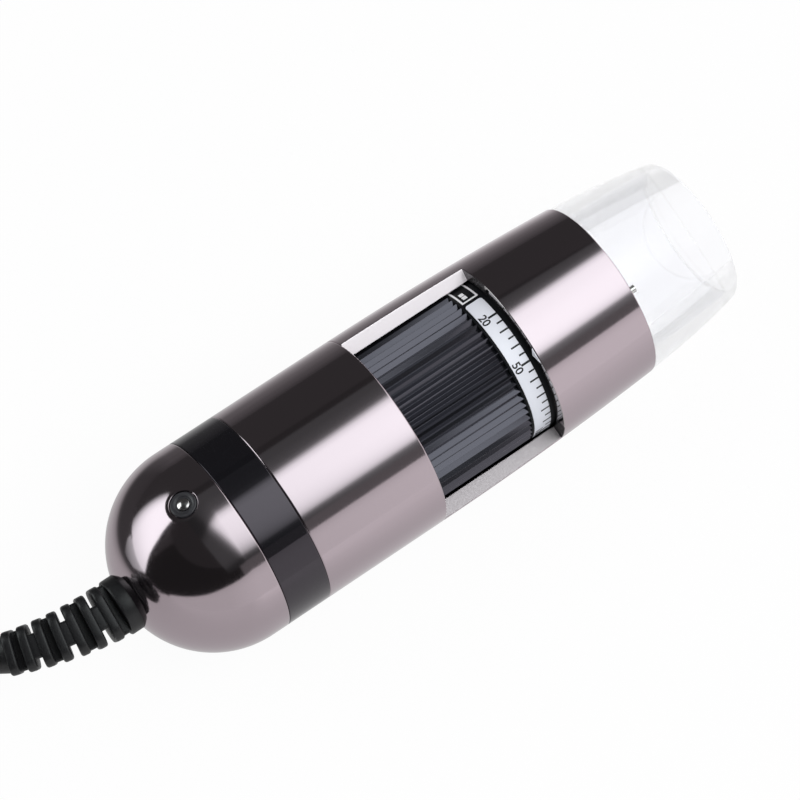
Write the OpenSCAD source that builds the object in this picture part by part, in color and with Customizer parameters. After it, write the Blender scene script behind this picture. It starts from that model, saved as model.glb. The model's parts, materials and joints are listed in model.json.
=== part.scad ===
// Handheld digital microscope lying on its side on a table.
// The lens end points to +X, the dome and the lead to -X, and the table is at z = 0.

/* [Body] */
// Outside diameter of the dome, the band and the rear sleeve
body_d = 32; // [31:0.5:36]
// Wall of the dome, the band and the sleeves
wall = 2.6; // [2.4:0.1:2.9]
// Straight rim of the dome behind the band
dome_straight = 2.7; // [2:0.1:5]
// Length of the label band
band_len = 7.2; // [5:0.1:12]
// Length of the rear sleeve
rear_len = 21.3; // [19:0.1:30]
// Length of the front sleeve
front_len = 40; // [39:0.5:50]
// How much slimmer the front rim is than the body
rim_taper = 2.7; // [2.2:0.1:3]
// Chamfer on the edges where the outer pieces meet
edge_chamfer = 0.25; // [0.1:0.05:0.4]

/* [Window] */
// Share of the front sleeve's length that the finger window takes
window_share = 0.55; // [0.5:0.01:0.57]
// Angle that the window opens
window_span = 147; // [100:1:170]
// Clock angle of the window's middle, from the top towards the front
window_turn = 27; // [0:1:60]
// Width of the pointer mark on the window's front wall
mark_w = 2.4; // [1.5:0.1:3]
// Height of the pointer mark
mark_h = 1.5; // [1:0.1:1.8]
// Thickness of the pointer mark
mark_t = 0.12; // [0.1:0.01:0.2]

/* [Focus dial] */
// Wall of the dial
dial_wall = 1.95; // [1.9:0.05:2.3]
// How far the dial runs under the rear sleeve
dial_tuck = 0.9; // [0.5:0.1:2]
// How far the dial runs past the window's front wall
dial_lap = 1.8; // [1:0.1:3]
// Grip ribs round the dial
rib_count = 60; // [40:1:80]
// Width of the groove between two ribs
rib_groove = 0.4; // [0.3:0.05:0.5]
// Depth of the groove between two ribs
rib_depth = 0.35; // [0.2:0.05:0.4]
// Width of the white scale strip
strip_w = 3.1; // [2:0.1:4]
// Thickness of the scale strip
strip_t = 0.2; // [0.15:0.05:0.3]
// Plain black edge in front of the scale strip
strip_gap = 0.6; // [0.4:0.1:1]
// Clock angle where the scale strip starts
strip_turn = -26; // [-60:1:0]
// Angle that the scale strip covers
strip_span = 269; // [200:1:300]

/* [Focus drive] */
// Carriage travel for one whole turn of the dial
helix_lead = 13.6; // [12:0.1:14.5]
// Dial turn from rest to the far end of the scale
turn_back = 201; // [150:1:210]
// Dial turn from rest to the near end of the scale
turn_fore = 36; // [20:1:40]
// Radius of the follower pin
follower_r = 0.8; // [0.6:0.05:0.9]
// Clock angle of the follower pin
follower_turn = 207; // [190:1:230]
// Distance of the follower pin from the carriage's rear end
follower_at = 9.5; // [9:0.1:10]
// Depth of the helical groove in the dial
helix_depth = 1; // [0.8:0.05:1.1]

/* [Chassis and carriage] */
// Wall of the chassis tube
tube_wall = 1.1; // [0.9:0.05:1.3]
// Thickness of the chassis tube's rear flange
flange_t = 2.4; // [1.5:0.1:3]
// Thickness of the ring that keeps the dial on the tube
retainer_t = 2.4; // [1.5:0.1:2.6]
// How much shorter the lens carriage is than the window
carriage_short = 4; // [3.7:0.1:5]
// Wall round the carriage's sensor pocket
pocket_wall = 1.8; // [1.6:0.1:2.2]
// Depth of the carriage's sensor pocket
pocket_depth = 4; // [3.4:0.1:4.4]
// Depth of the light well between sensor and lenses
well_depth = 4; // [3:0.1:4.5]
// Wall between the light well and the lens bore
web_t = 1.2; // [0.8:0.1:1.5]

/* [Optics] */
// Radius of the two lenses
lens_r = 5.1; // [4.6:0.1:5.4]
// Edge thickness of each lens
lens_edge = 1.6; // [1.2:0.1:1.8]
// Radius of each lens's curved face
lens_curve_r = 12; // [10:0.5:16]
// Radius of the aperture
aperture_r = 2; // [1:0.1:2.5]
// Length of the aperture stop
stop_len = 1.7; // [1.5:0.1:2]
// Length of the ring that holds the lenses
lens_ring_len = 1.8; // [1.2:0.1:2.2]

/* [Electronics] */
// Thickness of all circuit boards
board_t = 1.2; // [0.8:0.1:1.4]
// Gap between the main board's edges and the coupler ring
board_side = 1.8; // [1.6:0.1:2.8]
// How far the main board's top lies below the axis
board_drop = 1.5; // [1:0.1:2.5]
// Ledge that carries the sensor board
sensor_ledge = 2.8; // [2.8:0.1:3.5]
// Wall of the coupler ring
coupler_wall = 1.55; // [1.2:0.05:1.7]
// Width of the ring-shaped lamp board
lamp_board_w = 6.05; // [5.5:0.05:6.5]
// Lamps round the lens
lamp_count = 8; // [4:4:8]
// Radius of one lamp
lamp_r = 1.5; // [1:0.1:1.6]
// Thickness of the lamp carrier
lamp_carrier_t = 3.5; // [2.5:0.1:4]

/* [Nose and cap] */
// Wall of the front sleeve at its rim
nose_wall = 1.6; // [1.5:0.05:1.7]
// Length of the thick rim
nose_len = 5.2; // [4.6:0.1:6]
// Length of the clear cap past the rim
cap_len = 17.8; // [12:0.1:24]
// How much slimmer the cap is than the rim
cap_step = 0.3; // [0.1:0.05:0.6]
// Wall of the cap behind its lip
cap_wall = 1.3; // [1:0.05:1.5]
// Radius of the cap's long convex curve
cap_curve_r = 110; // [90:1:150]
// Lean of the cap's wall where it leaves the rim
cap_lean = 3.15; // [2:0.05:5]
// Length of the cap's spigot in the rim
spigot_len = 4; // [3:0.1:4.4]
// Wall of the cap's spigot
spigot_wall = 1; // [0.8:0.05:1.2]
// Radius of the metal index pin
pin_r = 0.6; // [0.45:0.05:0.65]
// How far the index pin stands out of the rim
pin_out = 0.8; // [0.4:0.1:1.2]
// Clock angle of the index pin and the pointer mark
index_turn = 28; // [0:1:60]

/* [Button] */
// Clock angle of the button
button_turn = -10.7; // [-30:0.1:30]
// Lean of the button's axis towards the lead
button_back = 10.8; // [8:0.1:14]
// Radius of the button's collar
collar_r = 2.1; // [1.95:0.05:2.3]
// Radius of the button's metal centre
button_r = 0.95; // [0.8:0.05:1]
// Travel of the button
button_travel = 0.4; // [0.2:0.05:0.5]

/* [Strain relief] */
// Width of the strain relief at the dome
boot_d = 9.1; // [8:0.1:10]
// Width that the strain relief loses for each millimetre of length
boot_taper = 0.145; // [0.1:0.005:0.15]
// Length of the strain relief
boot_len = 24; // [22:0.5:26]
// Radius of its bend
boot_bend_r = 44; // [40:1:80]
// How far its bend dips below the level
boot_dip = 25; // [0:1:40]
// Distance between two slots
slot_pitch = 2.45; // [2:0.05:2.6]
// Width of a slot
slot_w = 0.95; // [0.8:0.05:1.4]
// Thickness of the web that is left in a slot
slot_web = 3.8; // [3.4:0.1:4.2]

/* [Cord] */
// Diameter of the cord
cord_d = 3.2; // [2.8:0.05:3.3]
// Straight length of the put-away hank's runs
hank_run = 57.4; // [52:0.1:62]
// Radius of the hank's innermost fold
hank_fold_r = 9.6; // [9.2:0.1:11]
// Step from turn to turn of the hank
hank_step = 4; // [3.95:0.01:4.3]
// Step from layer to layer of the hank
hank_lift = 3.7; // [3.65:0.01:4]
// How far the tie draws each side of the hank in
hank_draw = 7; // [0:0.1:7]
// Thickness of the hank's tie
tie_t = 0.8; // [0.5:0.1:1]
// Width of the hank's tie
tie_w = 8; // [5:0.5:12]

/* [Plug] */
// Length of the plug's grip
grip_len = 22; // [18:0.5:26]
// Width of the plug's grip
grip_w = 15.5; // [14:0.1:16]
// Height of the plug's grip
grip_h = 8; // [7:0.1:9]
// Length of the plug's metal shell
shell_len = 18.5; // [16:0.1:19]
// Width of the plug's metal shell
shell_w = 12; // [11.9:0.05:12.1]
// Height of the plug's metal shell
shell_h = 4.5; // [4.4:0.05:4.6]
// Sheet thickness of the plug's metal shell
shell_t = 0.3; // [0.2:0.05:0.4]

/* [Fits] */
// Radial clearance of the dial inside the sleeves
dial_clear = 0.35; // [0.3:0.05:0.5]
// Radial clearance of a running fit
run_clear = 0.1; // [0.05:0.01:0.15]
// Radial clearance of a push fit
push_clear = 0.05; // [0.02:0.01:0.1]
// End clearance of the turning and sliding pieces
end_clear = 0.3; // [0.2:0.05:0.4]

/* [Hidden] */
$fn = 96;
// Small overlap that lets a cut run clear through a face
over = 0.1;

// Radii, from the outside in
body_r = body_d / 2;
axis_z = body_r;
bore_r = body_r - wall;
dial_r = bore_r - dial_clear;
dial_bore_r = dial_r - dial_wall;
tube_r = dial_bore_r - run_clear;
tube_bore_r = tube_r - tube_wall;
carriage_r = tube_bore_r - run_clear;
insert_r = bore_r - push_clear;
rim_r = (body_d - rim_taper) / 2;
cap_r = rim_r - cap_step / 2;
nose_bore_r = rim_r - nose_wall;
spigot_r = nose_bore_r - run_clear;

// Stations along the axis, from the dome to the cap
total_len = body_r + dome_straight + band_len + rear_len + front_len + cap_len;
boot_recess_r = boot_d / 2 + push_clear;
dome_cut = body_r - sqrt(body_r * body_r - boot_recess_r * boot_recess_r);
x_apex = -(total_len + dome_cut) / 2;
x_dome = x_apex + body_r;
x_band = x_dome + dome_straight;
x_rear = x_band + band_len;
x_seam = x_rear + rear_len;
x_rim = x_seam + front_len;
window_len = window_share * front_len;
x_window = x_seam + window_len;
x_shoulder = x_rim - nose_len;

// Long outside curve of the front sleeve, tangent to the rear sleeve
sleeve_drop = body_r - rim_r;
sleeve_curve_r = (front_len * front_len + sleeve_drop * sleeve_drop) / (2 * sleeve_drop);
sleeve_steps = 20;

// Dial, tube and carriage
x_dial = x_seam - dial_tuck;
x_dial_end = x_window + dial_lap;
x_flange = x_dial - end_clear;
x_tube = x_flange - flange_t;
x_retainer = x_dial_end + end_clear;
x_tube_end = x_retainer + retainer_t;
x_strip_end = x_window - strip_gap;
x_strip = x_strip_end - strip_w;
rib_stop = 0.4;
strip_seat = 0.02;
carriage_setback = 0.3;
carriage_len = window_len - carriage_short;
x_carriage = x_seam + carriage_setback;
x_carriage_end = x_carriage + carriage_len;
x_follower = x_carriage + follower_at;
travel_fore = helix_lead * turn_back / 360;
travel_back = helix_lead * turn_fore / 360;
groove_half = follower_r + 0.25;
groove_run_out = 7;
groove_steps = 36;
slot_half = follower_r + 0.15;
key_w = 2.2;
key_room = 0.3;
ribbon_t = 0.3;
ribbon_y = tube_bore_r - 0.7;
ribbon_z = axis_z - 1.1;

// Optics, from the sensor forwards
pocket_r = carriage_r - pocket_wall;
well_r = pocket_r - sensor_ledge;
sensor_w = (well_r - 0.25) * sqrt(2);
x_pocket = x_carriage + pocket_depth;
x_web = x_pocket + well_depth;
x_rear_lens = x_web + web_t;
x_stop = x_rear_lens + lens_edge;
x_front_lens = x_stop + stop_len;
x_lens_ring = x_front_lens + lens_edge;
lens_bore_r = lens_r + run_clear;
lens_rim = 0.7;
spacer_bore_r = lens_r - lens_rim + run_clear;
stop_plate = 0.5;
web_hole_r = 3;
sensor_t = 1.2;
glass_t = 0.4;
glass_inset = 0.75;
follower_root_r = lens_bore_r + 2;
follower_end_r = dial_bore_r + helix_depth - 0.2;
x_sensor_board = x_pocket - board_t;
sensor_board_r = pocket_r - 0.2;
screw_head_h = 0.7;
sensor_screw_ring_r = (pocket_r + well_r) / 2;
sensor_screw_turns = [60, 240];
sensor_screw_r = 0.6;
sensor_screw_head_r = 1.05;
sensor_screw_bite = 2.2;
socket_w = 9;
socket_depth = 1.4;
socket_h = 2;
x_socket = x_sensor_board - socket_depth;
socket_z = axis_z + 0.6;

// Main board, its rails and what is soldered to it
coupler_in = 1.5;
coupler_out = 4.6;
x_coupler = x_band - coupler_in;
x_coupler_end = x_rear + coupler_out;
coupler_bore_r = insert_r - coupler_wall;
board_w = 2 * (coupler_bore_r - board_side);
board_gap = 2;
x_board = x_coupler + 0.3;
x_board_end = x_tube - board_gap;
board_len = x_board_end - x_board;
board_top = axis_z - board_drop;
board_bottom = board_top - board_t;
rail_h = 1.6;
rail_in = 3.2;
rail_inset = 1;
board_screw_r = 0.7;
board_screw_head_r = 1.2;
board_screw_y = board_w / 2 - 1.4;
board_screw_xs = [x_coupler + 2.5, x_coupler_end - 2.5];
lead_socket_len = 4;
lead_socket_w = 6;
lead_socket_h = 2 * board_drop;
flat_socket_len = 3;
flat_socket_h = 1.5;
x_flat_socket = x_board_end - 1;
wire_r = 0.3;
wire_pitch = 0.8;
// Rear end, middle across, length and width as shares of the board, then the height
chip_spots = [
    [0.27, 0.025, 0.29, 0.35, 0.9],
    [0.27, -0.2575, 0.21, 0.195, 1.4],
    [0.62, 0.18, 0.165, 0.2, 0.9],
    [0.62, -0.23, 0.035, 0.08, 0.8],
    [0.695, -0.23, 0.035, 0.08, 0.8],
    [0.77, -0.23, 0.035, 0.08, 0.8]
];
crystal_spot = [0.215, 0.315, 0.13, 0.125, 0.9];

// Ribbon between the two boards: it leaves the main board, rises, loops over and enters the sensor socket
flex_w = 8;
flex_t = 0.2;
flex_z = board_top + flat_socket_h / 2;
flex_rise_r = 2;
flex_top_r = 1.6;
flex_end_r = 1;
flex_top_z = socket_z + 3.4;
x_flex_down = x_socket - flex_end_r;
x_flex_up = x_flex_down - 2 * flex_top_r;

// Lamps in the nose
x_lamp_board = x_shoulder - end_clear - board_t;
x_lamp_carrier = x_lamp_board - lamp_carrier_t;
lamp_board_r = insert_r - 0.3;
lamp_board_hole_r = lamp_board_r - lamp_board_w;
lamp_ring_r = lamp_board_r - lamp_board_w / 2;
lamp_h = 0.6;
lamp_screw_count = 4;
lamp_screw_r = 0.6;
lamp_screw_head_r = 1.1;
lamp_screw_len = 3.2;
lamp_dome_r = lamp_r - 0.2;
carrier_hole_r = lamp_board_hole_r + 0.5;
function lamp_screw_turn(i) = 360 * i / lamp_screw_count + 180 / lamp_count;

// Index pin, its notch in the cap, and the cap's lip
pin_ring_r = rim_r - nose_wall / 2;
pin_depth = 3;
notch_room = 0.2;
lip_round = 0.9;
mouth_step = 0.2;

// Button, measured out from the dome's centre along its axis
button_lift = 0.1;
collar_t = 0.6;
collar_sunk = 0.05;
barrel_r = 1.75;
barrel_end = bore_r - 1.4;
stop_r = 1.5;
stop_t = 0.6;
stop_top = barrel_end - run_clear;
plunger_r = 0.8;
plunger_len = 1.4;
switch_w = 3.8;
switch_h = 1.4;
switch_base = 0.3;
switch_top = stop_top - stop_t - button_travel - 0.4;
holder_r = 3.2;
holder_wall = 0.4;
holder_top = barrel_end + 0.6;
holder_floor = 0.8;
button_wire_r = 0.35;
button_wire_ins = [1.2, 2.1];
button_wire_pads = [1.4, 2.6];
button_axis = [
    -sin(button_back),
    -sin(button_turn) * cos(button_back),
    cos(button_turn) * cos(button_back)
];

// Strain relief, measured along its bend
boot_seat = 0.9;
x_boot = x_apex + boot_seat;
boot_collar = 2.4;
boot_neck_r = 2.9;
boot_flange_r = 4;
boot_flange_t = 1.2;
x_boot_flange = x_dome - sqrt(bore_r * bore_r - boot_flange_r * boot_flange_r) + 0.1;
boot_tip = 3.2;
boot_tip_r = cord_d / 2 + 0.4;
boot_slots = floor((boot_len - boot_collar - boot_tip) / slot_pitch);
boot_roll = 18;
boot_lap = 0.14;
slot_step = 0.6;
rib_round = 0.6;
inner_lead_r = cord_d / 2;
x_inner_lead = x_boot_flange + boot_flange_t;
x_inner_wires = x_board - 3;

// Cord: the free stretches follow points laid by hand, and the hank between them follows a rule
hank_x = -146;
hank_y = 2;
tie_clear = 0.3;
hank_z = tie_t + tie_clear + cord_d / 2;
hank_layers = 4;
loop_rings = 24;
run_rings = 4;
fold_rings = 8;
layer_rings = 49;
hank_rings = hank_layers * layer_rings;
hank_out_r = hank_fold_r + hank_step * layer_rings / loop_rings;
cord_sides = 8;
hank_sides = 6;
lead_route = [
    [-84, 11.2, 10.3], [-90, 14.4, 7.8], [-96, 17, 5.4], [-103, 19.2, 3.5]
];
tail_route = [
    [-184, 19.6, 14.3], [-191.4, 17.6, 15.4], [-196.9, 12.2, 16.7], [-198.8, 5, 18],
    [-197, -1.8, 19], [-192, -6.4, 19.8], [-185.5, -8, 20.3]
];

// Plug, lying on the tie
plug_y = -8;
plug_z = tie_t + hank_z + (hank_layers - 1) * hank_lift + cord_d / 2 + tie_clear + grip_h / 2;
x_plug_tip = -172;
plug_tip_len = 8;
plug_tip_r = cord_d / 2 + 0.3;
plug_neck_r = 3;
x_grip = x_plug_tip + plug_tip_len;
x_shell = x_grip + grip_len;
grip_round = 1.5;
shell_root = 2;
shell_hole = 2.5;
shell_hole_at = 7;
tongue_t = 1.9;
tongue_gap = 0.15;
tongue_len = shell_len - 2;
contact_xs = [-3.5, -1, 1, 3.5];
contact_w = 1.1;
contact_t = 0.15;
contact_len = 8;
contact_inset = 0.5;

// Helpers

// Turns a profile of [radius, station] points about the body's axis
module lathe(turn = 0, sweep = 360) {
    translate([0, 0, axis_z])
        rotate([0, 90, 0])
            rotate([0, 0, 180 + turn])
                rotate_extrude(angle = sweep)
                    children();
}

// Local x points out from the axis at a clock angle, and local z runs along the body
module at_clock(turn) {
    translate([0, 0, axis_z])
        rotate([0, 90, 0])
            rotate([0, 0, 180 + turn])
                children();
}

// Plain rectangle of a lathe profile
module band_2d(r_in, r_out, x_from, x_to) {
    translate([r_in, x_from])
        square([r_out - r_in, x_to - x_from]);
}

// Rectangle of a lathe profile with its two outer corners cut off
module edged_band_2d(r_in, r_out, x_from, x_to) {
    polygon([
        [r_in, x_from],
        [r_out - edge_chamfer, x_from],
        [r_out, x_from + edge_chamfer],
        [r_out, x_to - edge_chamfer],
        [r_out - edge_chamfer, x_to],
        [r_in, x_to]
    ]);
}

// Local z points out along the button's axis from the dome's centre
module along_button() {
    translate([x_dome, 0, axis_z])
        rotate([0, 90, 0])
            rotate([0, 0, 180 + button_turn])
                rotate([0, 90 + button_back, 0])
                    children();
}

// Closed skin over rings of equal point counts
module skin(rings) {
    n = len(rings[0]);
    m = len(rings);
    sides = [
        for (i = [0 : m - 2], k = [0 : n - 1])
            let (a = i * n + k, b = i * n + (k + 1) % n)
                each [[a, b, b + n], [a, b + n, a + n]]
    ];
    first = [for (k = [1 : n - 2]) [0, k + 1, k]];
    last = [for (k = [1 : n - 2]) [(m - 1) * n, (m - 1) * n + k, (m - 1) * n + k + 1]];
    polyhedron(points = [for (ring = rings) each ring], faces = concat(sides, first, last));
}

function unit(v) = v / norm(v);

// Direction of a path at one of its points
function heading(path, i) = unit(path[min(i + 1, len(path) - 1)] - path[max(i - 1, 0)]);

// Ring of points round a path, square to it
function ring(path, i, r, sides) =
    let (
        ahead = heading(path, i),
        across = unit(cross(ahead, norm(cross(ahead, [0, 0, 1])) < 0.01 ? [0, 1, 0] : [0, 0, 1])),
        up = cross(across, ahead)
    )
        [for (k = [0 : sides - 1])
            path[i] + r * (cos(360 * k / sides) * across + sin(360 * k / sides) * up)];

function path_length(path) = len(path) < 2 ? 0 :
    [for (i = 1, sum = norm(path[1] - path[0]); i < len(path);
        i = i + 1, sum = sum + (i < len(path) ? norm(path[i] - path[i - 1]) : 0)) sum][len(path) - 2];

// Tube along a path
module tube(path, r, sides) {
    skin([for (i = [0 : len(path) - 1]) ring(path, i, r, sides)]);
}

// Housing

module rear_dome() {
    color("#57504f")
        difference() {
            lathe()
                difference() {
                    union() {
                        intersection() {
                            translate([0, x_dome])
                                circle(body_r);
                            band_2d(0, body_r, x_apex, x_dome);
                        }
                        polygon([
                            [0, x_dome],
                            [body_r, x_dome],
                            [body_r, x_band - edge_chamfer],
                            [body_r - edge_chamfer, x_band],
                            [0, x_band]
                        ]);
                    }
                    intersection() {
                        translate([0, x_dome])
                            circle(bore_r);
                        band_2d(0, bore_r, x_apex, x_dome);
                    }
                    band_2d(0, bore_r, x_dome, x_band + over);
                    band_2d(0, boot_neck_r + push_clear, x_apex - over, x_dome);
                    band_2d(0, boot_recess_r, x_apex - over, x_boot);
                }
            along_button() {
                cylinder(h = body_r + over, r = barrel_r + push_clear);
                translate([0, 0, body_r - collar_sunk - collar_t])
                    cylinder(h = wall, r = collar_r + push_clear);
            }
        }
}

module label_band() {
    color("#16151a")
        lathe()
            edged_band_2d(bore_r, body_r, x_band, x_rear);
}

module rear_sleeve() {
    color("#57504f")
        lathe()
            edged_band_2d(bore_r, body_r, x_rear, x_seam);
}

// Outside radius of the front sleeve at a distance from the seam
function sleeve_r(along) =
    body_r - sleeve_curve_r + sqrt(sleeve_curve_r * sleeve_curve_r - along * along);

module front_sleeve() {
    color("#57504f")
        difference() {
            lathe()
                polygon(concat(
                    [[bore_r, x_seam], [body_r - edge_chamfer, x_seam]],
                    [for (i = [0 : sleeve_steps])
                        let (along = edge_chamfer + (front_len - 2 * edge_chamfer) * i / sleeve_steps)
                            [sleeve_r(along), x_seam + along]],
                    [
                        [rim_r - edge_chamfer, x_rim],
                        [nose_bore_r, x_rim],
                        [nose_bore_r, x_shoulder],
                        [bore_r, x_shoulder]
                    ]
                ));
            lathe(window_turn - window_span / 2, window_span)
                band_2d(bore_r - over, body_r + over, x_seam - over, x_window);
            at_clock(index_turn)
                translate([pin_ring_r, 0, x_rim - pin_depth])
                    cylinder(h = pin_depth + over, r = pin_r + push_clear, $fn = 32);
        }
}

module index_pin() {
    color("#c9c6c4")
        at_clock(index_turn)
            translate([pin_ring_r, 0, x_rim - pin_depth])
                cylinder(h = pin_depth + pin_out, r = pin_r, $fn = 32);
}

module index_mark() {
    base_r = sleeve_r(window_len) - edge_chamfer;
    color("#f2f0f0")
        at_clock(index_turn)
            translate([0, 0, x_window - mark_t])
                linear_extrude(height = mark_t)
                    polygon([[base_r, -mark_w / 2], [base_r, mark_w / 2], [base_r - mark_h, 0]]);
}

// Inner frame

module coupler_ring() {
    color("#3a3a3d")
        difference() {
            union() {
                lathe()
                    band_2d(coupler_bore_r, insert_r, x_coupler, x_coupler_end);
                intersection() {
                    lathe()
                        band_2d(0, coupler_bore_r + coupler_wall / 2, x_coupler, x_coupler_end);
                    for (side = [-1, 1])
                        translate([x_coupler + rail_inset, side > 0 ? board_w / 2 - rail_in : -bore_r,
                            board_bottom - rail_h])
                            cube([
                                x_coupler_end - x_coupler - 2 * rail_inset,
                                bore_r - board_w / 2 + rail_in,
                                rail_h
                            ]);
                }
            }
            for (x = board_screw_xs, side = [-1, 1])
                translate([x, side * board_screw_y, board_bottom - rail_h - over])
                    cylinder(h = rail_h + 2 * over, r = board_screw_r + push_clear, $fn = 24);
        }
}

module chassis_tube() {
    color("#2b2b2e")
        difference() {
            lathe() {
                band_2d(tube_bore_r, tube_r, x_tube, x_tube_end);
                band_2d(tube_r - tube_wall / 2, insert_r, x_tube, x_flange);
            }
            at_clock(follower_turn)
                translate([
                    tube_bore_r - over,
                    -slot_half,
                    x_follower - travel_back - follower_r - end_clear
                ])
                    cube([
                        tube_wall + 2 * over,
                        2 * slot_half,
                        travel_back + travel_fore + 2 * follower_r + 2 * end_clear
                    ]);
        }
}

module dial_retainer() {
    color("#a5a5a8")
        lathe()
            band_2d(tube_r + push_clear, insert_r, x_retainer, x_tube_end);
}

// Focus dial

// Groove that turns the dial's rotation into carriage travel
module helix_groove() {
    from = -turn_fore - groove_run_out;
    to = turn_back + groove_run_out;
    r_in = dial_bore_r - 2 * over;
    r_out = dial_bore_r + helix_depth;
    at_clock(follower_turn)
        skin([
            for (i = [0 : groove_steps])
                let (turn = from + (to - from) * i / groove_steps, x = x_follower + helix_lead * turn / 360)
                    [
                        for (corner = [[r_out, -1], [r_out, 1], [r_in, 1], [r_in, -1]])
                            [corner[0] * cos(turn), corner[0] * sin(turn), x + corner[1] * groove_half]
                    ]
        ]);
}

module focus_dial() {
    color("#1c1d21")
        difference() {
            union() {
                at_clock(0)
                    translate([0, 0, x_dial])
                        linear_extrude(height = x_strip - rib_stop - x_dial)
                            difference() {
                                circle(dial_r);
                                circle(dial_bore_r);
                                for (i = [0 : rib_count - 1])
                                    rotate(360 * i / rib_count)
                                        translate([dial_r - rib_depth, -rib_groove / 2])
                                            square([rib_depth + over, rib_groove]);
                            }
                lathe()
                    band_2d(dial_bore_r, dial_r, x_strip - rib_stop, x_dial_end);
            }
            lathe(strip_turn, strip_span)
                band_2d(dial_r - strip_t - strip_seat, dial_r + over, x_strip, x_strip_end);
            helix_groove();
        }
}

module scale_strip() {
    color("#f3f1f2")
        lathe(strip_turn, strip_span)
            band_2d(dial_r - strip_t, dial_r, x_strip, x_strip_end);
}

// Lens carriage and optics

module lens_carriage() {
    color("#242428")
        difference() {
            lathe()
                polygon([
                    [pocket_r, x_carriage],
                    [carriage_r, x_carriage],
                    [carriage_r, x_carriage_end],
                    [lens_bore_r, x_carriage_end],
                    [lens_bore_r, x_rear_lens],
                    [web_hole_r, x_rear_lens],
                    [web_hole_r, x_web],
                    [well_r, x_web],
                    [well_r, x_pocket],
                    [pocket_r, x_pocket]
                ]);
            at_clock(follower_turn)
                translate([follower_root_r, 0, x_follower])
                    rotate([0, 90, 0])
                        cylinder(h = carriage_r, r = follower_r + push_clear, $fn = 32);
            translate([x_carriage - over, ribbon_y - key_room, ribbon_z - key_w / 2 - key_room])
                cube([carriage_len + 2 * over, carriage_r, key_w + 2 * key_room]);
            for (turn = sensor_screw_turns)
                at_clock(turn)
                    translate([sensor_screw_ring_r, 0, x_pocket - over])
                        cylinder(h = sensor_screw_bite + 3 * over, r = sensor_screw_r + push_clear,
                            $fn = 24);
        }
}

module follower_pin() {
    color("#c9c6c4")
        at_clock(follower_turn)
            translate([follower_root_r, 0, x_follower])
                rotate([0, 90, 0])
                    cylinder(h = follower_end_r - follower_root_r, r = follower_r, $fn = 32);
}

// Lens with a flat back, a plain rim and a curved front
module lens(x_back) {
    curve_base = lens_r - lens_rim;
    sag_depth = sqrt(lens_curve_r * lens_curve_r - curve_base * curve_base);
    lathe() {
        band_2d(0, lens_r, x_back, x_back + lens_edge);
        intersection() {
            translate([0, x_back + lens_edge - sag_depth])
                circle(lens_curve_r);
            band_2d(0, curve_base, x_back + lens_edge / 2, x_back + lens_edge + lens_curve_r);
        }
    }
}

module front_lens() {
    color("#cfe3ec")
        lens(x_front_lens);
}

module rear_lens() {
    color("#cfe3ec")
        lens(x_rear_lens);
}

module aperture_stop() {
    color("#1a1a1c")
        lathe() {
            band_2d(spacer_bore_r, lens_r, x_stop, x_front_lens);
            band_2d(aperture_r, lens_r - lens_rim / 2, x_front_lens - stop_plate, x_front_lens);
        }
}

module lens_retainer() {
    color("#8f8f92")
        lathe()
            band_2d(spacer_bore_r, lens_r, x_lens_ring, x_lens_ring + lens_ring_len);
}

module sensor_board() {
    color("#1f6b3a")
        difference() {
            lathe()
                band_2d(0, sensor_board_r, x_sensor_board, x_pocket);
            for (turn = sensor_screw_turns)
                at_clock(turn)
                    translate([sensor_screw_ring_r, 0, x_sensor_board - over])
                        cylinder(h = board_t + 2 * over, r = sensor_screw_r + run_clear, $fn = 24);
        }
}

module image_sensor() {
    color("#35353a")
        translate([x_pocket, -sensor_w / 2, axis_z - sensor_w / 2])
            cube([sensor_t, sensor_w, sensor_w]);
}

module sensor_glass() {
    side = sensor_w - 2 * glass_inset;
    color("#b9d0dc")
        translate([x_pocket + sensor_t, -side / 2, axis_z - side / 2])
            cube([glass_t, side, side]);
}

module sensor_socket() {
    color("#e6dfc8")
        translate([x_socket, -socket_w / 2, socket_z - socket_h / 2])
            cube([socket_depth, socket_w, socket_h]);
}

module sensor_screws() {
    color("#b9b9bd")
        for (turn = sensor_screw_turns)
            at_clock(turn)
                translate([sensor_screw_ring_r, 0, x_sensor_board]) {
                    translate([0, 0, -screw_head_h])
                        cylinder(h = screw_head_h, r = sensor_screw_head_r, $fn = 32);
                    cylinder(h = board_t + sensor_screw_bite, r = sensor_screw_r, $fn = 24);
                }
}

// Main board

module main_board() {
    color("#1f6b3a")
        difference() {
            translate([x_board, -board_w / 2, board_bottom])
                cube([board_len, board_w, board_t]);
            for (x = board_screw_xs, side = [-1, 1])
                translate([x, side * board_screw_y, board_bottom - over])
                    cylinder(h = board_t + 2 * over, r = board_screw_r + run_clear, $fn = 24);
        }
}

// Part soldered to the main board's top
module on_board(spot) {
    translate([x_board + spot[0] * board_len, (spot[1] - spot[3] / 2) * board_w, board_top])
        cube([spot[2] * board_len, spot[3] * board_w, spot[4]]);
}

module board_chips() {
    color("#222226")
        for (spot = chip_spots)
            on_board(spot);
}

module board_crystal() {
    color("#c4c4c8")
        on_board(crystal_spot);
}

module board_connectors() {
    color("#e6dfc8") {
        translate([x_board, -lead_socket_w / 2, board_top])
            cube([lead_socket_len, lead_socket_w, lead_socket_h]);
        translate([x_flat_socket - flat_socket_len, -socket_w / 2, board_top])
            cube([flat_socket_len, socket_w, flat_socket_h]);
    }
}

module board_screws() {
    color("#b9b9bd")
        for (x = board_screw_xs, side = [-1, 1])
            translate([x, side * board_screw_y, board_top]) {
                cylinder(h = screw_head_h, r = board_screw_head_r, $fn = 32);
                translate([0, 0, -board_t - rail_h])
                    cylinder(h = board_t + rail_h, r = board_screw_r, $fn = 24);
            }
}

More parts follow.
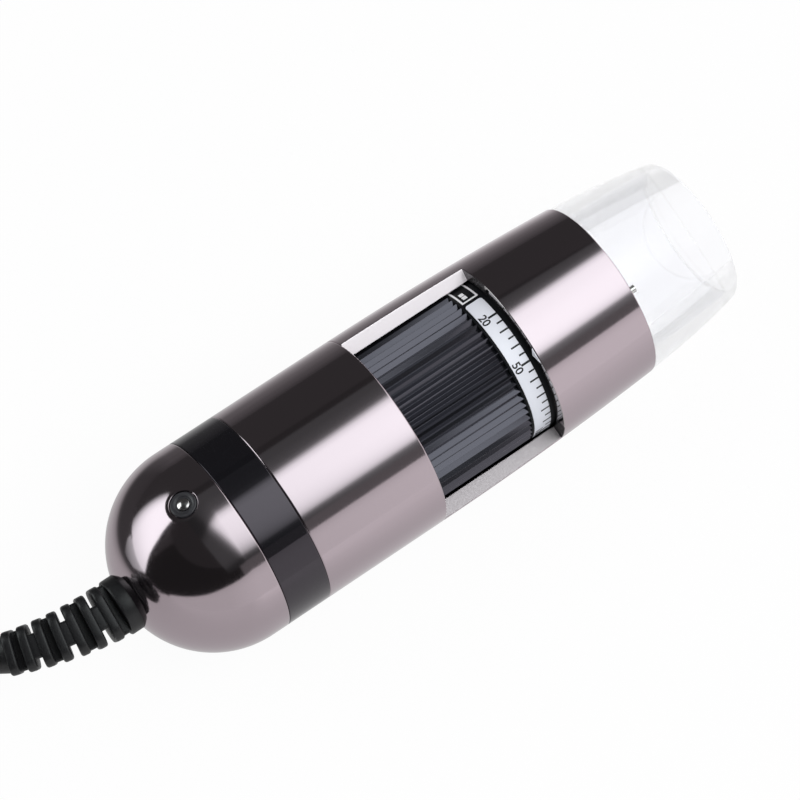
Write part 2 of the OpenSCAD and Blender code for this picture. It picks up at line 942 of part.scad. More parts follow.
// Part of a ring in the ribbon's side view
module flex_bend_2d(r, from, to) {
    rotate(from)
        intersection() {
            difference() {
                circle(r + flex_t / 2);
                circle(r - flex_t / 2);
            }
            if (to - from > 90)
                translate([-2 * r, 0])
                    square([4 * r, 2 * r]);
            else
                square(2 * r);
        }
}

module flex_cable() {
    rise_x = x_flex_up - flex_rise_r;
    rise_z = flex_z + flex_rise_r;
    color("#c98a2e")
        translate([0, flex_w / 2, 0])
            rotate([90, 0, 0])
                linear_extrude(height = flex_w) {
                    translate([x_flat_socket, flex_z - flex_t / 2])
                        square([rise_x - x_flat_socket, flex_t]);
                    translate([rise_x, rise_z])
                        flex_bend_2d(flex_rise_r, 270, 360);
                    translate([x_flex_up - flex_t / 2, rise_z])
                        square([flex_t, flex_top_z - rise_z]);
                    translate([x_flex_up + flex_top_r, flex_top_z])
                        flex_bend_2d(flex_top_r, 0, 180);
                    translate([x_flex_down - flex_t / 2, socket_z + flex_end_r])
                        square([flex_t, flex_top_z - socket_z - flex_end_r]);
                    translate([x_socket, socket_z + flex_end_r])
                        flex_bend_2d(flex_end_r, 180, 270);
                }
}

// Nose

module lamp_carrier() {
    color("#2b2b2e")
        difference() {
            lathe()
                band_2d(carrier_hole_r, insert_r, x_lamp_carrier, x_lamp_board);
            translate([x_lamp_carrier - over, ribbon_y - key_room, ribbon_z - key_w / 2 - key_room])
                cube([lamp_carrier_t + 2 * over, ribbon_t + 2 * key_room, key_w + 2 * key_room]);
            for (i = [0 : lamp_screw_count - 1])
                at_clock(lamp_screw_turn(i))
                    translate([lamp_ring_r, 0, x_lamp_board - lamp_screw_len])
                        cylinder(h = lamp_screw_len + over, r = lamp_screw_r + push_clear, $fn = 24);
        }
}

module lamp_board() {
    color("#eceae6")
        difference() {
            lathe()
                band_2d(lamp_board_hole_r, lamp_board_r, x_lamp_board, x_lamp_board + board_t);
            for (i = [0 : lamp_screw_count - 1])
                at_clock(lamp_screw_turn(i))
                    translate([lamp_ring_r, 0, x_lamp_board - over])
                        cylinder(h = board_t + 2 * over, r = lamp_screw_r + run_clear, $fn = 24);
        }
}

module lamps() {
    color("#fbf6df")
        for (i = [0 : lamp_count - 1])
            at_clock(360 * i / lamp_count)
                translate([lamp_ring_r, 0, x_lamp_board + board_t]) {
                    cylinder(h = lamp_h, r = lamp_r, $fn = 32);
                    translate([0, 0, lamp_h])
                        intersection() {
                            sphere(lamp_dome_r, $fn = 32);
                            translate([-lamp_r, -lamp_r, -lamp_h / 2])
                                cube(2 * lamp_r);
                        }
                }
}

module lamp_screws() {
    color("#b9b9bd")
        for (i = [0 : lamp_screw_count - 1])
            at_clock(lamp_screw_turn(i))
                translate([lamp_ring_r, 0, x_lamp_board + board_t]) {
                    cylinder(h = screw_head_h, r = lamp_screw_head_r, $fn = 32);
                    translate([0, 0, -board_t - lamp_screw_len + end_clear])
                        cylinder(h = board_t + lamp_screw_len - end_clear, r = lamp_screw_r, $fn = 24);
                }
}

module lamp_ribbon() {
    color("#c98a2e")
        translate([x_board_end, ribbon_y, ribbon_z - key_w / 2])
            cube([x_lamp_board - x_board_end, ribbon_t, key_w]);
}

// Cap

// Point of the cap's wall, at a depth under its outside and an angle along its long curve
function cap_point(depth, lean) =
    let (r = cap_curve_r - depth)
        [
            cap_r - cap_curve_r * cos(cap_lean) + r * cos(lean),
            x_rim - cap_curve_r * sin(cap_lean) + r * sin(lean)
        ];

module front_cap() {
    cap_steps = 14;
    lip_steps = 6;
    lip_reach = cap_len - lip_round + cap_curve_r * sin(cap_lean);
    lean_end = asin(lip_reach / (cap_curve_r - lip_round));
    lip = cap_point(lip_round, lean_end);
    bore = spigot_r - spigot_wall;
    mouth = min(bore - mouth_step, lip[0] + lip_round * cos(lean_end) - cap_wall);
    bore_curve_r = (cap_len * cap_len + (bore - mouth) * (bore - mouth)) / (2 * (bore - mouth));
    color("#e9e6f0", 0.35)
        difference() {
            lathe()
                polygon(concat(
                    [
                        [bore, x_rim - spigot_len],
                        [spigot_r, x_rim - spigot_len],
                        [spigot_r, x_rim]
                    ],
                    [for (i = [0 : cap_steps])
                        cap_point(0, cap_lean + (lean_end - cap_lean) * i / cap_steps)],
                    [for (i = [1 : lip_steps])
                        let (turn = lean_end + (90 - lean_end) * i / lip_steps)
                            lip + lip_round * [cos(turn), sin(turn)]],
                    [for (i = [0 : cap_steps])
                        let (along = cap_len * (1 - i / cap_steps))
                            [bore - bore_curve_r + sqrt(bore_curve_r * bore_curve_r - along * along),
                                x_rim + along]]
                ));
            at_clock(index_turn)
                translate([pin_ring_r - pin_r - notch_room, -pin_r - notch_room, x_rim - over])
                    cube([cap_r, 2 * (pin_r + notch_room), pin_out + notch_room + over]);
        }
}

// Button

module button_collar() {
    color("#1a1a1d")
        along_button()
            difference() {
                union() {
                    translate([0, 0, barrel_end])
                        cylinder(h = body_r - collar_sunk - barrel_end - collar_t / 2, r = barrel_r);
                    translate([0, 0, body_r - collar_sunk - collar_t])
                        cylinder(h = collar_t, r = collar_r);
                }
                cylinder(h = body_r + over, r = button_r + run_clear);
            }
}

module snapshot_button() {
    crown_r = 2;
    color("#b7b3b3")
        along_button() {
            translate([0, 0, stop_top - stop_t])
                cylinder(h = stop_t, r = stop_r);
            intersection() {
                translate([0, 0, stop_top - stop_t])
                    cylinder(h = body_r, r = button_r);
                translate([0, 0, body_r + button_lift - crown_r])
                    sphere(crown_r);
            }
            translate([0, 0, stop_top - stop_t])
                cylinder(h = body_r - crown_r / 2 - stop_top + stop_t, r = button_r);
        }
}

module switch_plunger() {
    color("#d8d4c4")
        along_button()
            translate([0, 0, stop_top - stop_t - plunger_len])
                cylinder(h = plunger_len, r = plunger_r, $fn = 48);
}

module button_switch() {
    color("#3c3c40")
        along_button()
            translate([0, 0, switch_top - switch_h])
                difference() {
                    translate([-switch_w / 2, -switch_w / 2, 0])
                        cube([switch_w, switch_w, switch_h]);
                    translate([0, 0, switch_base])
                        cylinder(h = switch_h, r = plunger_r + run_clear, $fn = 48);
                }
}

module switch_holder() {
    floor_top = switch_top - switch_h;
    color("#3a3a3d")
        along_button()
            difference() {
                translate([0, 0, floor_top - holder_floor])
                    cylinder(h = holder_top - floor_top + holder_floor, r = holder_r);
                translate([0, 0, floor_top])
                    cylinder(h = barrel_end - floor_top, r = holder_r - holder_wall);
                translate([0, 0, floor_top])
                    cylinder(h = body_r, r = barrel_r + push_clear);
            }
}

module button_wires() {
    start = switch_top - switch_h - holder_floor;
    color("#b3372f")
        for (side = [0, 1]) {
            top = [x_dome, 0, axis_z] + start * button_axis
                + button_wire_ins[side] * unit(cross(button_axis, [1, 0, 0]));
            foot = [x_board + lead_socket_len / 2, lead_socket_w / 2 + button_wire_pads[side], board_top];
            tube([
                top,
                top - 1.5 * button_axis,
                top - 2.5 * button_axis + [0.5, 0.5, 0],
                foot + [-0.5, -0.3, 3.5],
                foot + [0, 0, 2],
                foot
            ], button_wire_r, cord_sides);
        }
}

// Lead and strain relief

function boot_turn(along) = along / boot_bend_r * 180 / PI;
function boot_point(along) =
    let (side = boot_bend_r * (1 - cos(boot_turn(along))))
        [
            x_boot - boot_bend_r * sin(boot_turn(along)),
            cos(boot_dip) * side,
            axis_z - sin(boot_dip) * side
        ];
function boot_heading(along) =
    [
        -cos(boot_turn(along)),
        cos(boot_dip) * sin(boot_turn(along)),
        -sin(boot_dip) * sin(boot_turn(along))
    ];
function boot_w(along) = boot_d - boot_taper * along;

// Local z runs out along the strain relief's bend
module along_boot(along) {
    translate([x_boot, 0, axis_z])
        rotate([-boot_dip, 0, 0])
            translate([
                -boot_bend_r * sin(boot_turn(along)),
                boot_bend_r * (1 - cos(boot_turn(along))),
                0
            ])
                rotate([0, 0, -boot_turn(along)])
                    rotate([boot_dip + boot_roll, 0, 0])
                        rotate([0, -90, 0])
                            children();
}

module strain_relief() {
    slots_end = boot_collar + boot_slots * slot_pitch;
    rib_t = slot_pitch - slot_w;
    tip_len = boot_len - slots_end + 2 * boot_lap;
    color("#17171a")
        union() {
            translate([x_boot, 0, axis_z])
                rotate([0, 90, 0]) {
                    cylinder(h = x_inner_lead - x_boot, r = boot_neck_r);
                    translate([0, 0, x_boot_flange - x_boot])
                        cylinder(h = boot_flange_t, r = boot_flange_r);
                }
            along_boot(0)
                cylinder(h = boot_collar, r = boot_d / 2);
            for (i = [0 : boot_slots - 1]) {
                slot_at = boot_collar + i * slot_pitch;
                w = boot_w(slot_at);
                web = [slot_web, w - slot_step];
                along_boot(slot_at)
                    translate([0, 0, -boot_lap])
                        linear_extrude(height = slot_w + 2 * boot_lap)
                            square(i % 2 == 0 ? web : [web[1], web[0]], center = true);
                along_boot(slot_at + slot_w)
                    linear_extrude(height = rib_t)
                        intersection() {
                            square(w, center = true);
                            circle(rib_round * w);
                        }
            }
            along_boot(boot_len)
                translate([0, 0, -tip_len])
                    cylinder(h = tip_len, r1 = (boot_w(slots_end) - slot_step) / 2, r2 = boot_tip_r);
        }
}

module inner_lead() {
    color("#26262a")
        translate([0, 0, axis_z]) {
            translate([x_inner_lead, 0, 0])
                rotate([0, 90, 0])
                    cylinder(h = x_inner_wires - x_inner_lead, r = inner_lead_r);
            for (i = [-1.5 : 1 : 1.5])
                translate([x_inner_wires - wire_r, i * wire_pitch, 0])
                    rotate([0, 90, 0])
                        cylinder(h = x_board - x_inner_wires + wire_r, r = wire_r, $fn = 24);
        }
}

// Place of a ring of the hank, counted along its loops of two runs and two folds
function hank_r(i) =
    let (layer = floor(i / layer_rings), part = i / layer_rings - layer)
        hank_fold_r + (hank_out_r - hank_fold_r) * (layer % 2 == 0 ? 1 - part : part);
function hank_climb(i, layer) =
    let (part = (i - layer * layer_rings + 1) / 2)
        (1 - cos(180 * max(0, min(1, part)))) / 2;
function hank_level(i) =
    hank_z + hank_lift * (hank_climb(i, 1) + hank_climb(i, 2) + hank_climb(i, 3));
function hank_waist(part) = hank_draw * (1 - cos(360 * part)) / 2;
function hank_flat(q, r) =
    q < run_rings ?
        let (part = q / run_rings)
            [hank_run / 2 - hank_run * part, r - hank_waist(part)] :
    q < run_rings + fold_rings ?
        let (turn = 90 + 180 * (q - run_rings) / fold_rings)
            [-hank_run / 2 + r * cos(turn), r * sin(turn)] :
    q < 2 * run_rings + fold_rings ?
        let (part = (q - run_rings - fold_rings) / run_rings)
            [-hank_run / 2 + hank_run * part, hank_waist(part) - r] :
        let (turn = -90 + 180 * (q - 2 * run_rings - fold_rings) / fold_rings)
            [hank_run / 2 + r * cos(turn), r * sin(turn)];
function hank_point(i) =
    let (flat = hank_flat(i - loop_rings * floor(i / loop_rings), hank_r(i)))
        [hank_x + flat[0], hank_y + flat[1], hank_level(i)];

hank_start = hank_point(0) + [cord_d, 0, 0];
hank_end = hank_point(hank_rings) - [cord_d, 0, 0];
hank_path = concat([hank_start], [for (i = [0 : hank_rings]) hank_point(i)], [hank_end]);
lead_path = concat(
    [boot_point(boot_len), boot_point(boot_len) + 5 * boot_heading(boot_len)],
    lead_route,
    [hank_start + [cord_d, 0, 0], hank_start]
);
tail_path = concat(
    [hank_end, hank_end - [cord_d, 0, 0]],
    tail_route,
    [[x_plug_tip - cord_d, plug_y, plug_z], [x_plug_tip, plug_y, plug_z]]
);

// Least gap between turns of the hank, on its points
hank_gap = min([
    for (i = [0 : hank_rings], j = [i + fold_rings : 1 : hank_rings])
        norm(hank_point(i) - hank_point(j))
]) - cord_d;
echo(hank_gap = hank_gap);
echo(cord_length = path_length(lead_path) + path_length(hank_path) + path_length(tail_path));

module cord_lead() {
    color("#1b1b1e")
        tube(lead_path, cord_d / 2, cord_sides);
}

module cord_hank() {
    color("#1b1b1e")
        tube(hank_path, cord_d / 2, hank_sides);
}

module cord_tail() {
    color("#1b1b1e")
        tube(tail_path, cord_d / 2, cord_sides);
}

module hank_tie() {
    swing = hank_draw / 2 * (tie_w / 2) / (hank_run / run_rings);
    half_w = hank_out_r - hank_draw + swing + cord_d / 2 + tie_clear;
    height = plug_z - grip_h / 2 - 2 * tie_t;
    color("#2a2a2d")
        translate([hank_x - tie_w / 2, hank_y, 0])
            difference() {
                translate([0, -half_w - tie_t, 0])
                    cube([tie_w, 2 * (half_w + tie_t), height + 2 * tie_t]);
                translate([-over, -half_w, tie_t])
                    cube([tie_w + 2 * over, 2 * half_w, height]);
            }
}

// Plug

module plug_grip() {
    color("#1b1b1e")
        translate([x_grip, plug_y, plug_z])
            rotate([90, 0, 90])
                difference() {
                    union() {
                        linear_extrude(height = grip_len) {
                            square([grip_w - 2 * grip_round, grip_h], center = true);
                            square([grip_w, grip_h - 2 * grip_round], center = true);
                            for (a = [-1, 1], b = [-1, 1])
                                translate([a * (grip_w / 2 - grip_round), b * (grip_h / 2 - grip_round)])
                                    circle(grip_round, $fn = 32);
                        }
                        translate([0, 0, -plug_tip_len])
                            cylinder(h = plug_tip_len, r1 = plug_tip_r, r2 = plug_neck_r);
                    }
                    translate([0, 0, grip_len - shell_root])
                        linear_extrude(height = shell_root + over)
                            square([shell_w + 2 * push_clear, shell_h + 2 * push_clear], center = true);
                }
}

module plug_shell() {
    color("#cfcfd2")
        translate([x_shell - shell_root, plug_y, plug_z])
            rotate([90, 0, 90])
                difference() {
                    linear_extrude(height = shell_len + shell_root)
                        difference() {
                            square([shell_w, shell_h], center = true);
                            square([shell_w - 2 * shell_t, shell_h - 2 * shell_t], center = true);
                        }
                    for (side = [-1, 1])
                        translate([(side - 0.5) * shell_hole, -shell_h, shell_root + shell_hole_at])
                            cube([shell_hole, 2 * shell_h, shell_hole]);
                }
}

module plug_tongue() {
    color("#efeff0")
        translate([x_shell - shell_root, plug_y - shell_w / 2 + shell_t + tongue_gap,
            plug_z - shell_h / 2 + shell_t + tongue_gap])
            cube([shell_root + tongue_len, shell_w - 2 * shell_t - 2 * tongue_gap, tongue_t]);
}

module plug_contacts() {
    color("#d8b45a")
        for (y = contact_xs)
            translate([
                x_shell + tongue_len - contact_len - contact_inset,
                plug_y + y - contact_w / 2,
                plug_z - shell_h / 2 + shell_t + tongue_gap + tongue_t
            ])
                cube([contact_len, contact_w, contact_t]);
}

rear_dome();
label_band();
rear_sleeve();
front_sleeve();
index_pin();
index_mark();
coupler_ring();
chassis_tube();
dial_retainer();
focus_dial();
scale_strip();
lens_carriage();
follower_pin();
front_lens();
rear_lens();
aperture_stop();
lens_retainer();
sensor_board();
image_sensor();
sensor_glass();
sensor_socket();
sensor_screws();
main_board();
board_chips();
board_crystal();
board_connectors();
board_screws();
flex_cable();
lamp_carrier();
lamp_board();
lamps();
lamp_screws();
lamp_ribbon();
button_collar();
snapshot_button();
switch_plunger();
button_switch();
switch_holder();
button_wires();
front_cap();
strain_relief();
inner_lead();
cord_lead();
cord_hank();
cord_tail();
hank_tie();
plug_grip();
plug_shell();
plug_tongue();
plug_contacts();
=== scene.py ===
import json
from math import asin, atan2, cos, floor, pi, radians, sin, sqrt

import bmesh
import bpy
from mathutils import Matrix, Vector


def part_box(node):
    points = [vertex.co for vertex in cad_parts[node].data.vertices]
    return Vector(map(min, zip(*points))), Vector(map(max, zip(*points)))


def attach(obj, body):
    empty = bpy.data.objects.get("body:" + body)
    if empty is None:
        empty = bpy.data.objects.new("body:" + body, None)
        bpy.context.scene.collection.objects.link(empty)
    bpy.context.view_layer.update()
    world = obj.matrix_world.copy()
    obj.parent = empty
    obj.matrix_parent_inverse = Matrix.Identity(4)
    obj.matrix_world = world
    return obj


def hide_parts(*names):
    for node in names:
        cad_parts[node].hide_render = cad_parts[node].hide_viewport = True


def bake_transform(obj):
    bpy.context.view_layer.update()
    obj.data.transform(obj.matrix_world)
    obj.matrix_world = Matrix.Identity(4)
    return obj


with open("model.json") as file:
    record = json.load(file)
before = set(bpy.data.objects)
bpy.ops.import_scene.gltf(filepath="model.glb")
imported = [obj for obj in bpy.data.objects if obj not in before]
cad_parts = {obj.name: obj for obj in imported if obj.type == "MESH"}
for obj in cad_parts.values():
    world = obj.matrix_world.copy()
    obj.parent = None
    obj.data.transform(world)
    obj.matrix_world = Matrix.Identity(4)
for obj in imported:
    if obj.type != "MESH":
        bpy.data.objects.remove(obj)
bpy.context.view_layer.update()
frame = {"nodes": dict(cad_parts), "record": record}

# Sizes in millimetres, as in the part's source, with places along the body counted from the sleeves' seam
MM = 0.001
AXIS_Z = 16.0
X_SEAM = -5.637755
X_REAR = X_SEAM - 21.3
X_BAND = X_REAR - 7.2
X_DOME = X_BAND - 2.7
X_BOOT = X_DOME - 15.1
X_WINDOW = X_SEAM + 22.0
X_RIM = X_SEAM + 40.0
X_SHOULDER = X_RIM - 5.2
BODY_R = 16.0
BORE_R = 13.4
NOSE_BORE_R = 13.05
EDGE = 0.25
EDGE_HOLD = 0.06
SLEEVE_DROP = 1.35
SLEEVE_CURVE_R = ((X_RIM - X_SEAM) ** 2 + SLEEVE_DROP ** 2) / (2 * SLEEVE_DROP)
WINDOW_FROM = -46.5
WINDOW_TO = 100.5
INDEX_TURN = 28.0
SEGMENTS = 240


def at(x, r, turn):
    """Point at a distance r from the body's axis, at a clock angle from the top towards the front."""
    return Vector((x, -r * sin(radians(turn)), AXIS_Z + r * cos(radians(turn))))


# Materials

NOISE_RANGE = (0.3, 0.7)
GRAIN_DEPTH = 0.00002
FLOW_DEPTH = 0.00005
FLOW_SHADE = 0.985
FLOW_SWING = 0.03
FLOW_RELIEF = 0.02
TRACK_SCALE = 700
TRACK_W = 0.03
MASK_SHADE = 0.86
PLASTIC_IOR = 1.5


def new_material(name, colour, rough, metal=0.0):
    """A material with a plain shader, its node tree and its shader node."""
    material = bpy.data.materials.new(name)
    material.use_nodes = True
    tree = material.node_tree
    shader = tree.nodes["Principled BSDF"]
    shader.inputs["Base Color"].default_value = (*colour, 1.0)
    shader.inputs["Roughness"].default_value = rough
    shader.inputs["Metallic"].default_value = metal
    return material, tree, shader


def add_noise(tree, scale, stretch=(1.0, 1.0, 1.0), detail=3.0):
    """Noise over the piece, finer along an axis whose stretch is larger."""
    place = tree.nodes.new("ShaderNodeTexCoord")
    mapping = tree.nodes.new("ShaderNodeMapping")
    mapping.inputs["Scale"].default_value = stretch
    noise = tree.nodes.new("ShaderNodeTexNoise")
    noise.inputs["Scale"].default_value = scale
    noise.inputs["Detail"].default_value = detail
    tree.links.new(place.outputs["Object"], mapping.inputs["Vector"])
    tree.links.new(mapping.outputs["Vector"], noise.inputs["Vector"])
    return noise.outputs["Fac"]


def mottle(tree, shader, factor, dark, light):
    """Base colour between two shades by a factor."""
    mix = tree.nodes.new("ShaderNodeMix")
    mix.data_type = "RGBA"
    mix.inputs["A"].default_value = (*dark, 1.0)
    mix.inputs["B"].default_value = (*light, 1.0)
    tree.links.new(factor, mix.inputs["Factor"])
    tree.links.new(mix.outputs["Result"], shader.inputs["Base Color"])


def vary(tree, socket, factor, low, high):
    """A shader value between two levels by a factor."""
    spread = tree.nodes.new("ShaderNodeMapRange")
    spread.inputs["From Min"].default_value = NOISE_RANGE[0]
    spread.inputs["From Max"].default_value = NOISE_RANGE[1]
    spread.inputs["To Min"].default_value = low
    spread.inputs["To Max"].default_value = high
    tree.links.new(factor, spread.inputs["Value"])
    tree.links.new(spread.outputs["Result"], socket)


def emboss(tree, shader, height, strength, depth):
    """Fine relief from a height."""
    bump = tree.nodes.new("ShaderNodeBump")
    bump.inputs["Strength"].default_value = strength
    bump.inputs["Distance"].default_value = depth
    tree.links.new(height, bump.inputs["Height"])
    tree.links.new(bump.outputs["Normal"], shader.inputs["Normal"])


def grained(name, colour, rough, metal=0.0, grain=2500.0, shade=0.12, swing=0.06, relief=0.15,
            stretch=(1.0, 1.0, 1.0)):
    """A surface whose colour, roughness and relief follow one fine grain."""
    material, tree, shader = new_material(name, colour, rough, metal)
    factor = add_noise(tree, grain, stretch)
    mottle(tree, shader, factor, [c * (1 - shade) for c in colour], [min(1, c * (1 + shade)) for c in colour])
    vary(tree, shader.inputs["Roughness"], factor, max(0.02, rough - swing), min(1, rough + swing))
    emboss(tree, shader, factor, relief, GRAIN_DEPTH)
    return material, tree, shader


def cut_metal(name, colour, rough, metal, shade, relief):
    """Bead-blasted finish of the window's cut faces, with a painted highlight and painted shade among its
    colours.
    """
    return grained(name, colour, rough, metal, grain=3500, shade=shade, swing=0.06, relief=relief)[0]


def follow(tree, value, stops):
    """Level that follows stops of value and level."""
    first, last = stops[0][0], stops[-1][0]
    spread = tree.nodes.new("ShaderNodeMapRange")
    spread.inputs["From Min"].default_value = first
    spread.inputs["From Max"].default_value = last
    ramp = tree.nodes.new("ShaderNodeValToRGB")
    marks = ramp.color_ramp.elements
    for i, (x, level) in enumerate(stops):
        share = (x - first) / (last - first)
        mark = marks[0] if i == 0 else marks[-1] if i == len(stops) - 1 else marks.new(share)
        mark.position = share
        mark.color = (level, level, level, 1.0)
    tree.links.new(value, spread.inputs["Value"])
    tree.links.new(spread.outputs["Result"], ramp.inputs["Fac"])
    return ramp.outputs["Color"]


def gloss(shader, level, tint):
    """Strength and tint of a black plastic's gloss."""
    shader.inputs["IOR"].default_value = PLASTIC_IOR
    shader.inputs["Specular IOR Level"].default_value = level
    shader.inputs["Specular Tint"].default_value = (*tint, 1.0)


def band_black():
    material, _, shader = grained("band_black", (0.006, 0.006, 0.0075), 0.05, grain=1500, shade=0.2,
                                  swing=0.015, relief=0.01)
    gloss(shader, 0.75, (0.992, 0.872, 1.0))
    return material


def dial_black():
    material, _, shader = grained("dial_black", (0.0055, 0.006, 0.0075), 0.5, grain=7000, shade=0.25,
                                  swing=0.06, relief=0.2)
    shader.inputs["Specular IOR Level"].default_value = 0.12
    return material


def rib_black():
    """Black plastic of the ribs, smoother than the rim."""
    material, _, shader = grained("rib_black", (0.0055, 0.006, 0.0075), 0.15, grain=7000, shade=0.25,
                                  swing=0.03, relief=0.1)
    gloss(shader, 1.0, (0.86, 0.83, 1.0))
    return material


def clear(name, colour, rough, ior, grain, cover=1.0):
    """A clear material with slight flow marks in its surface, fainter with less cover."""
    material, tree, shader = new_material(name, colour, rough)
    shader.inputs["Alpha"].default_value = cover
    shader.inputs["Transmission Weight"].default_value = 1.0
    shader.inputs["IOR"].default_value = ior
    factor = add_noise(tree, grain)
    mottle(tree, shader, factor, [c * FLOW_SHADE for c in colour], colour)
    vary(tree, shader.inputs["Roughness"], factor, rough, rough + FLOW_SWING)
    emboss(tree, shader, factor, FLOW_RELIEF, FLOW_DEPTH)
    return material


def board(name, colour, track):
    """A circuit board's mask over straight tracks."""
    material, tree, shader = grained(name, colour, 0.38, grain=3000, shade=0.1, swing=0.05, relief=0.05)
    place = tree.nodes.new("ShaderNodeTexCoord")
    bricks = tree.nodes.new("ShaderNodeTexBrick")
    bricks.inputs["Scale"].default_value = TRACK_SCALE
    bricks.inputs["Mortar Size"].default_value = TRACK_W
    bricks.inputs["Color1"].default_value = (*colour, 1.0)
    bricks.inputs["Color2"].default_value = (*[c * MASK_SHADE for c in colour], 1.0)
    bricks.inputs["Mortar"].default_value = (*track, 1.0)
    tree.links.new(place.outputs["Object"], bricks.inputs["Vector"])
    tree.links.new(bricks.outputs["Color"], shader.inputs["Base Color"])
    return material


TURNED = (40.0, 1.0, 1.0)
DRAWN = (1.0, 25.0, 25.0)
RIBBED = (1.0, 12.0, 1.0)
WOVEN = (4.0, 1.0, 1.0)
# Colour, roughness, metal, grain, shade, swing, relief and stretch of each grained finish
GRAINED = {
    "shell_metal": ((0.48, 0.405, 0.44), 0.1, 1.0, 9000, 0.04, 0.02, 0.05),
    "scale_white": ((0.76, 0.78, 0.84), 0.35, 0.0, 4000, 0.02, 0.05, 0.05),
    "lead_black": ((0.0075, 0.0075, 0.0085), 0.42, 0.0, 5000, 0.3, 0.08, 0.25),
    "pin_steel": ((0.62, 0.61, 0.60), 0.22, 1.0, 3000, 0.06, 0.05, 0.1, TURNED),
    "frame_black": ((0.018, 0.018, 0.021), 0.4, 0.0, 4500, 0.2, 0.08, 0.2),
    "ring_aluminium": ((0.62, 0.62, 0.63), 0.3, 1.0, 800, 0.06, 0.08, 0.1, TURNED),
    "chip_black": ((0.02, 0.02, 0.022), 0.5, 0.0, 6000, 0.2, 0.08, 0.3),
    "can_metal": ((0.6, 0.6, 0.61), 0.25, 1.0, 1500, 0.08, 0.06, 0.1),
    "socket_ivory": ((0.62, 0.55, 0.38), 0.45, 0.0, 3500, 0.06, 0.06, 0.15),
    "ribbon_amber": ((0.42, 0.16, 0.02), 0.35, 0.0, 900, 0.15, 0.06, 0.1, RIBBED),
    "button_metal": ((0.66, 0.63, 0.63), 0.16, 1.0, 6000, 0.06, 0.04, 0.08),
    "wire_red": ((0.3, 0.012, 0.01), 0.45, 0.0, 3000, 0.12, 0.06, 0.15),
    "shell_steel": ((0.66, 0.66, 0.67), 0.22, 1.0, 900, 0.06, 0.06, 0.08, DRAWN),
    "tongue_white": ((0.74, 0.74, 0.74), 0.4, 0.0, 3500, 0.04, 0.06, 0.1),
    "contact_brass": ((0.72, 0.48, 0.15), 0.25, 1.0, 2500, 0.08, 0.06, 0.08),
    "collar_satin": ((0.027, 0.027, 0.031), 0.34, 0.0, 6000, 0.15, 0.06, 0.15),
    "tie_web": ((0.014, 0.014, 0.016), 0.75, 0.0, 2600, 0.4, 0.08, 0.5, WOVEN),
    "ink_black": ((0.008, 0.008, 0.010), 0.4, 0.0, 5000, 0.2, 0.06, 0.1),
    "ink_white": ((0.84, 0.84, 0.86), 0.4, 0.0, 5000, 0.03, 0.06, 0.1),
}
finishes = {name: grained(name, *values)[0] for name, values in GRAINED.items()}
finishes["band_black"] = band_black()
finishes["dial_black"] = dial_black()
finishes["board_green"] = board("board_green", (0.012, 0.11, 0.035), (0.03, 0.2, 0.07))
finishes["board_white"] = board("board_white", (0.78, 0.77, 0.74), (0.66, 0.65, 0.62))
finishes["lens_glass"] = clear("lens_glass", (0.93, 0.97, 1.0), 0.01, 1.52, 400)
finishes["lamp_clear"] = clear("lamp_clear", (1.0, 0.96, 0.80), 0.06, 1.45, 1500)
finishes["cap_clear"] = clear("cap_clear", (0.93, 0.94, 1.0), 0.03, 1.34, 250, 0.3)


# Meshes


def stand(name, data):
    """An object in the scene, from its data."""
    thing = bpy.data.objects.new(name, data)
    bpy.context.scene.collection.objects.link(thing)
    return thing


def make(name, points, faces, material, slot, body, replaced=(), sharp=35.0):
    """A closed piece from points in millimetres, smooth except at edges sharper than an angle.

    A piece given no body is left unattached here.
    """
    mesh = bpy.data.meshes.new(name)
    mesh.from_pydata([tuple(c * MM for c in p) for p in points], [], faces)
    shape = bmesh.new()
    shape.from_mesh(mesh)
    bmesh.ops.recalc_face_normals(shape, faces=shape.faces)
    shape.to_mesh(mesh)
    shape.free()
    mesh.polygons.foreach_set("use_smooth", [True] * len(mesh.polygons))
    mesh.set_sharp_from_angle(angle=radians(sharp))
    mesh.materials.append(material)
    piece = stand(name, mesh)
    if body:
        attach(piece, body)
    if replaced:
        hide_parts(*replaced)
    return piece


def loops_to_mesh(loops, close_across=True):
    """Points and faces of closed loops of equal counts, joined one to the next, round or with end faces."""
    count = len(loops[0])
    total = len(loops)
    points = [p for loop in loops for p in loop]
    faces = []
    for i in range(total if close_across else total - 1):
        j = (i + 1) % total
        for k in range(count):
            m = (k + 1) % count
            faces.append((i * count + k, i * count + m, j * count + m, j * count + k))
    if not close_across:
        faces.append(tuple(range(count)))
        faces.append(tuple((total - 1) * count + k for k in reversed(range(count))))
    return points, faces


def add_loops(points, faces, loops):
    """Adds an open run of loops to the points and faces of a larger mesh."""
    more_points, more_faces = loops_to_mesh(loops, close_across=False)
    first = len(points)
    points += more_points
    faces += [tuple(first + k for k in face) for face in more_faces]


def weld(piece, gap, slivers=False):
    """Joins points that lie within a gap in metres, and takes away the slivers that this leaves if asked."""
    shape = bmesh.new()
    shape.from_mesh(piece.data)
    bmesh.ops.remove_doubles(shape, verts=shape.verts, dist=gap)
    if slivers:
        bmesh.ops.dissolve_degenerate(shape, edges=shape.edges, dist=gap)
    bmesh.ops.recalc_face_normals(shape, faces=shape.faces)
    shape.to_mesh(piece.data)
    shape.free()


def lathe(name, profile, material, slot, body, replaced=(), segments=SEGMENTS, sharp=35.0):
    """Closed profile of (x, r) turned round the body's axis."""
    loops = [[at(x, r, 360 * i / segments) for x, r in profile] for i in range(segments)]
    return make(name, *loops_to_mesh(loops), material, slot, body, replaced, sharp)


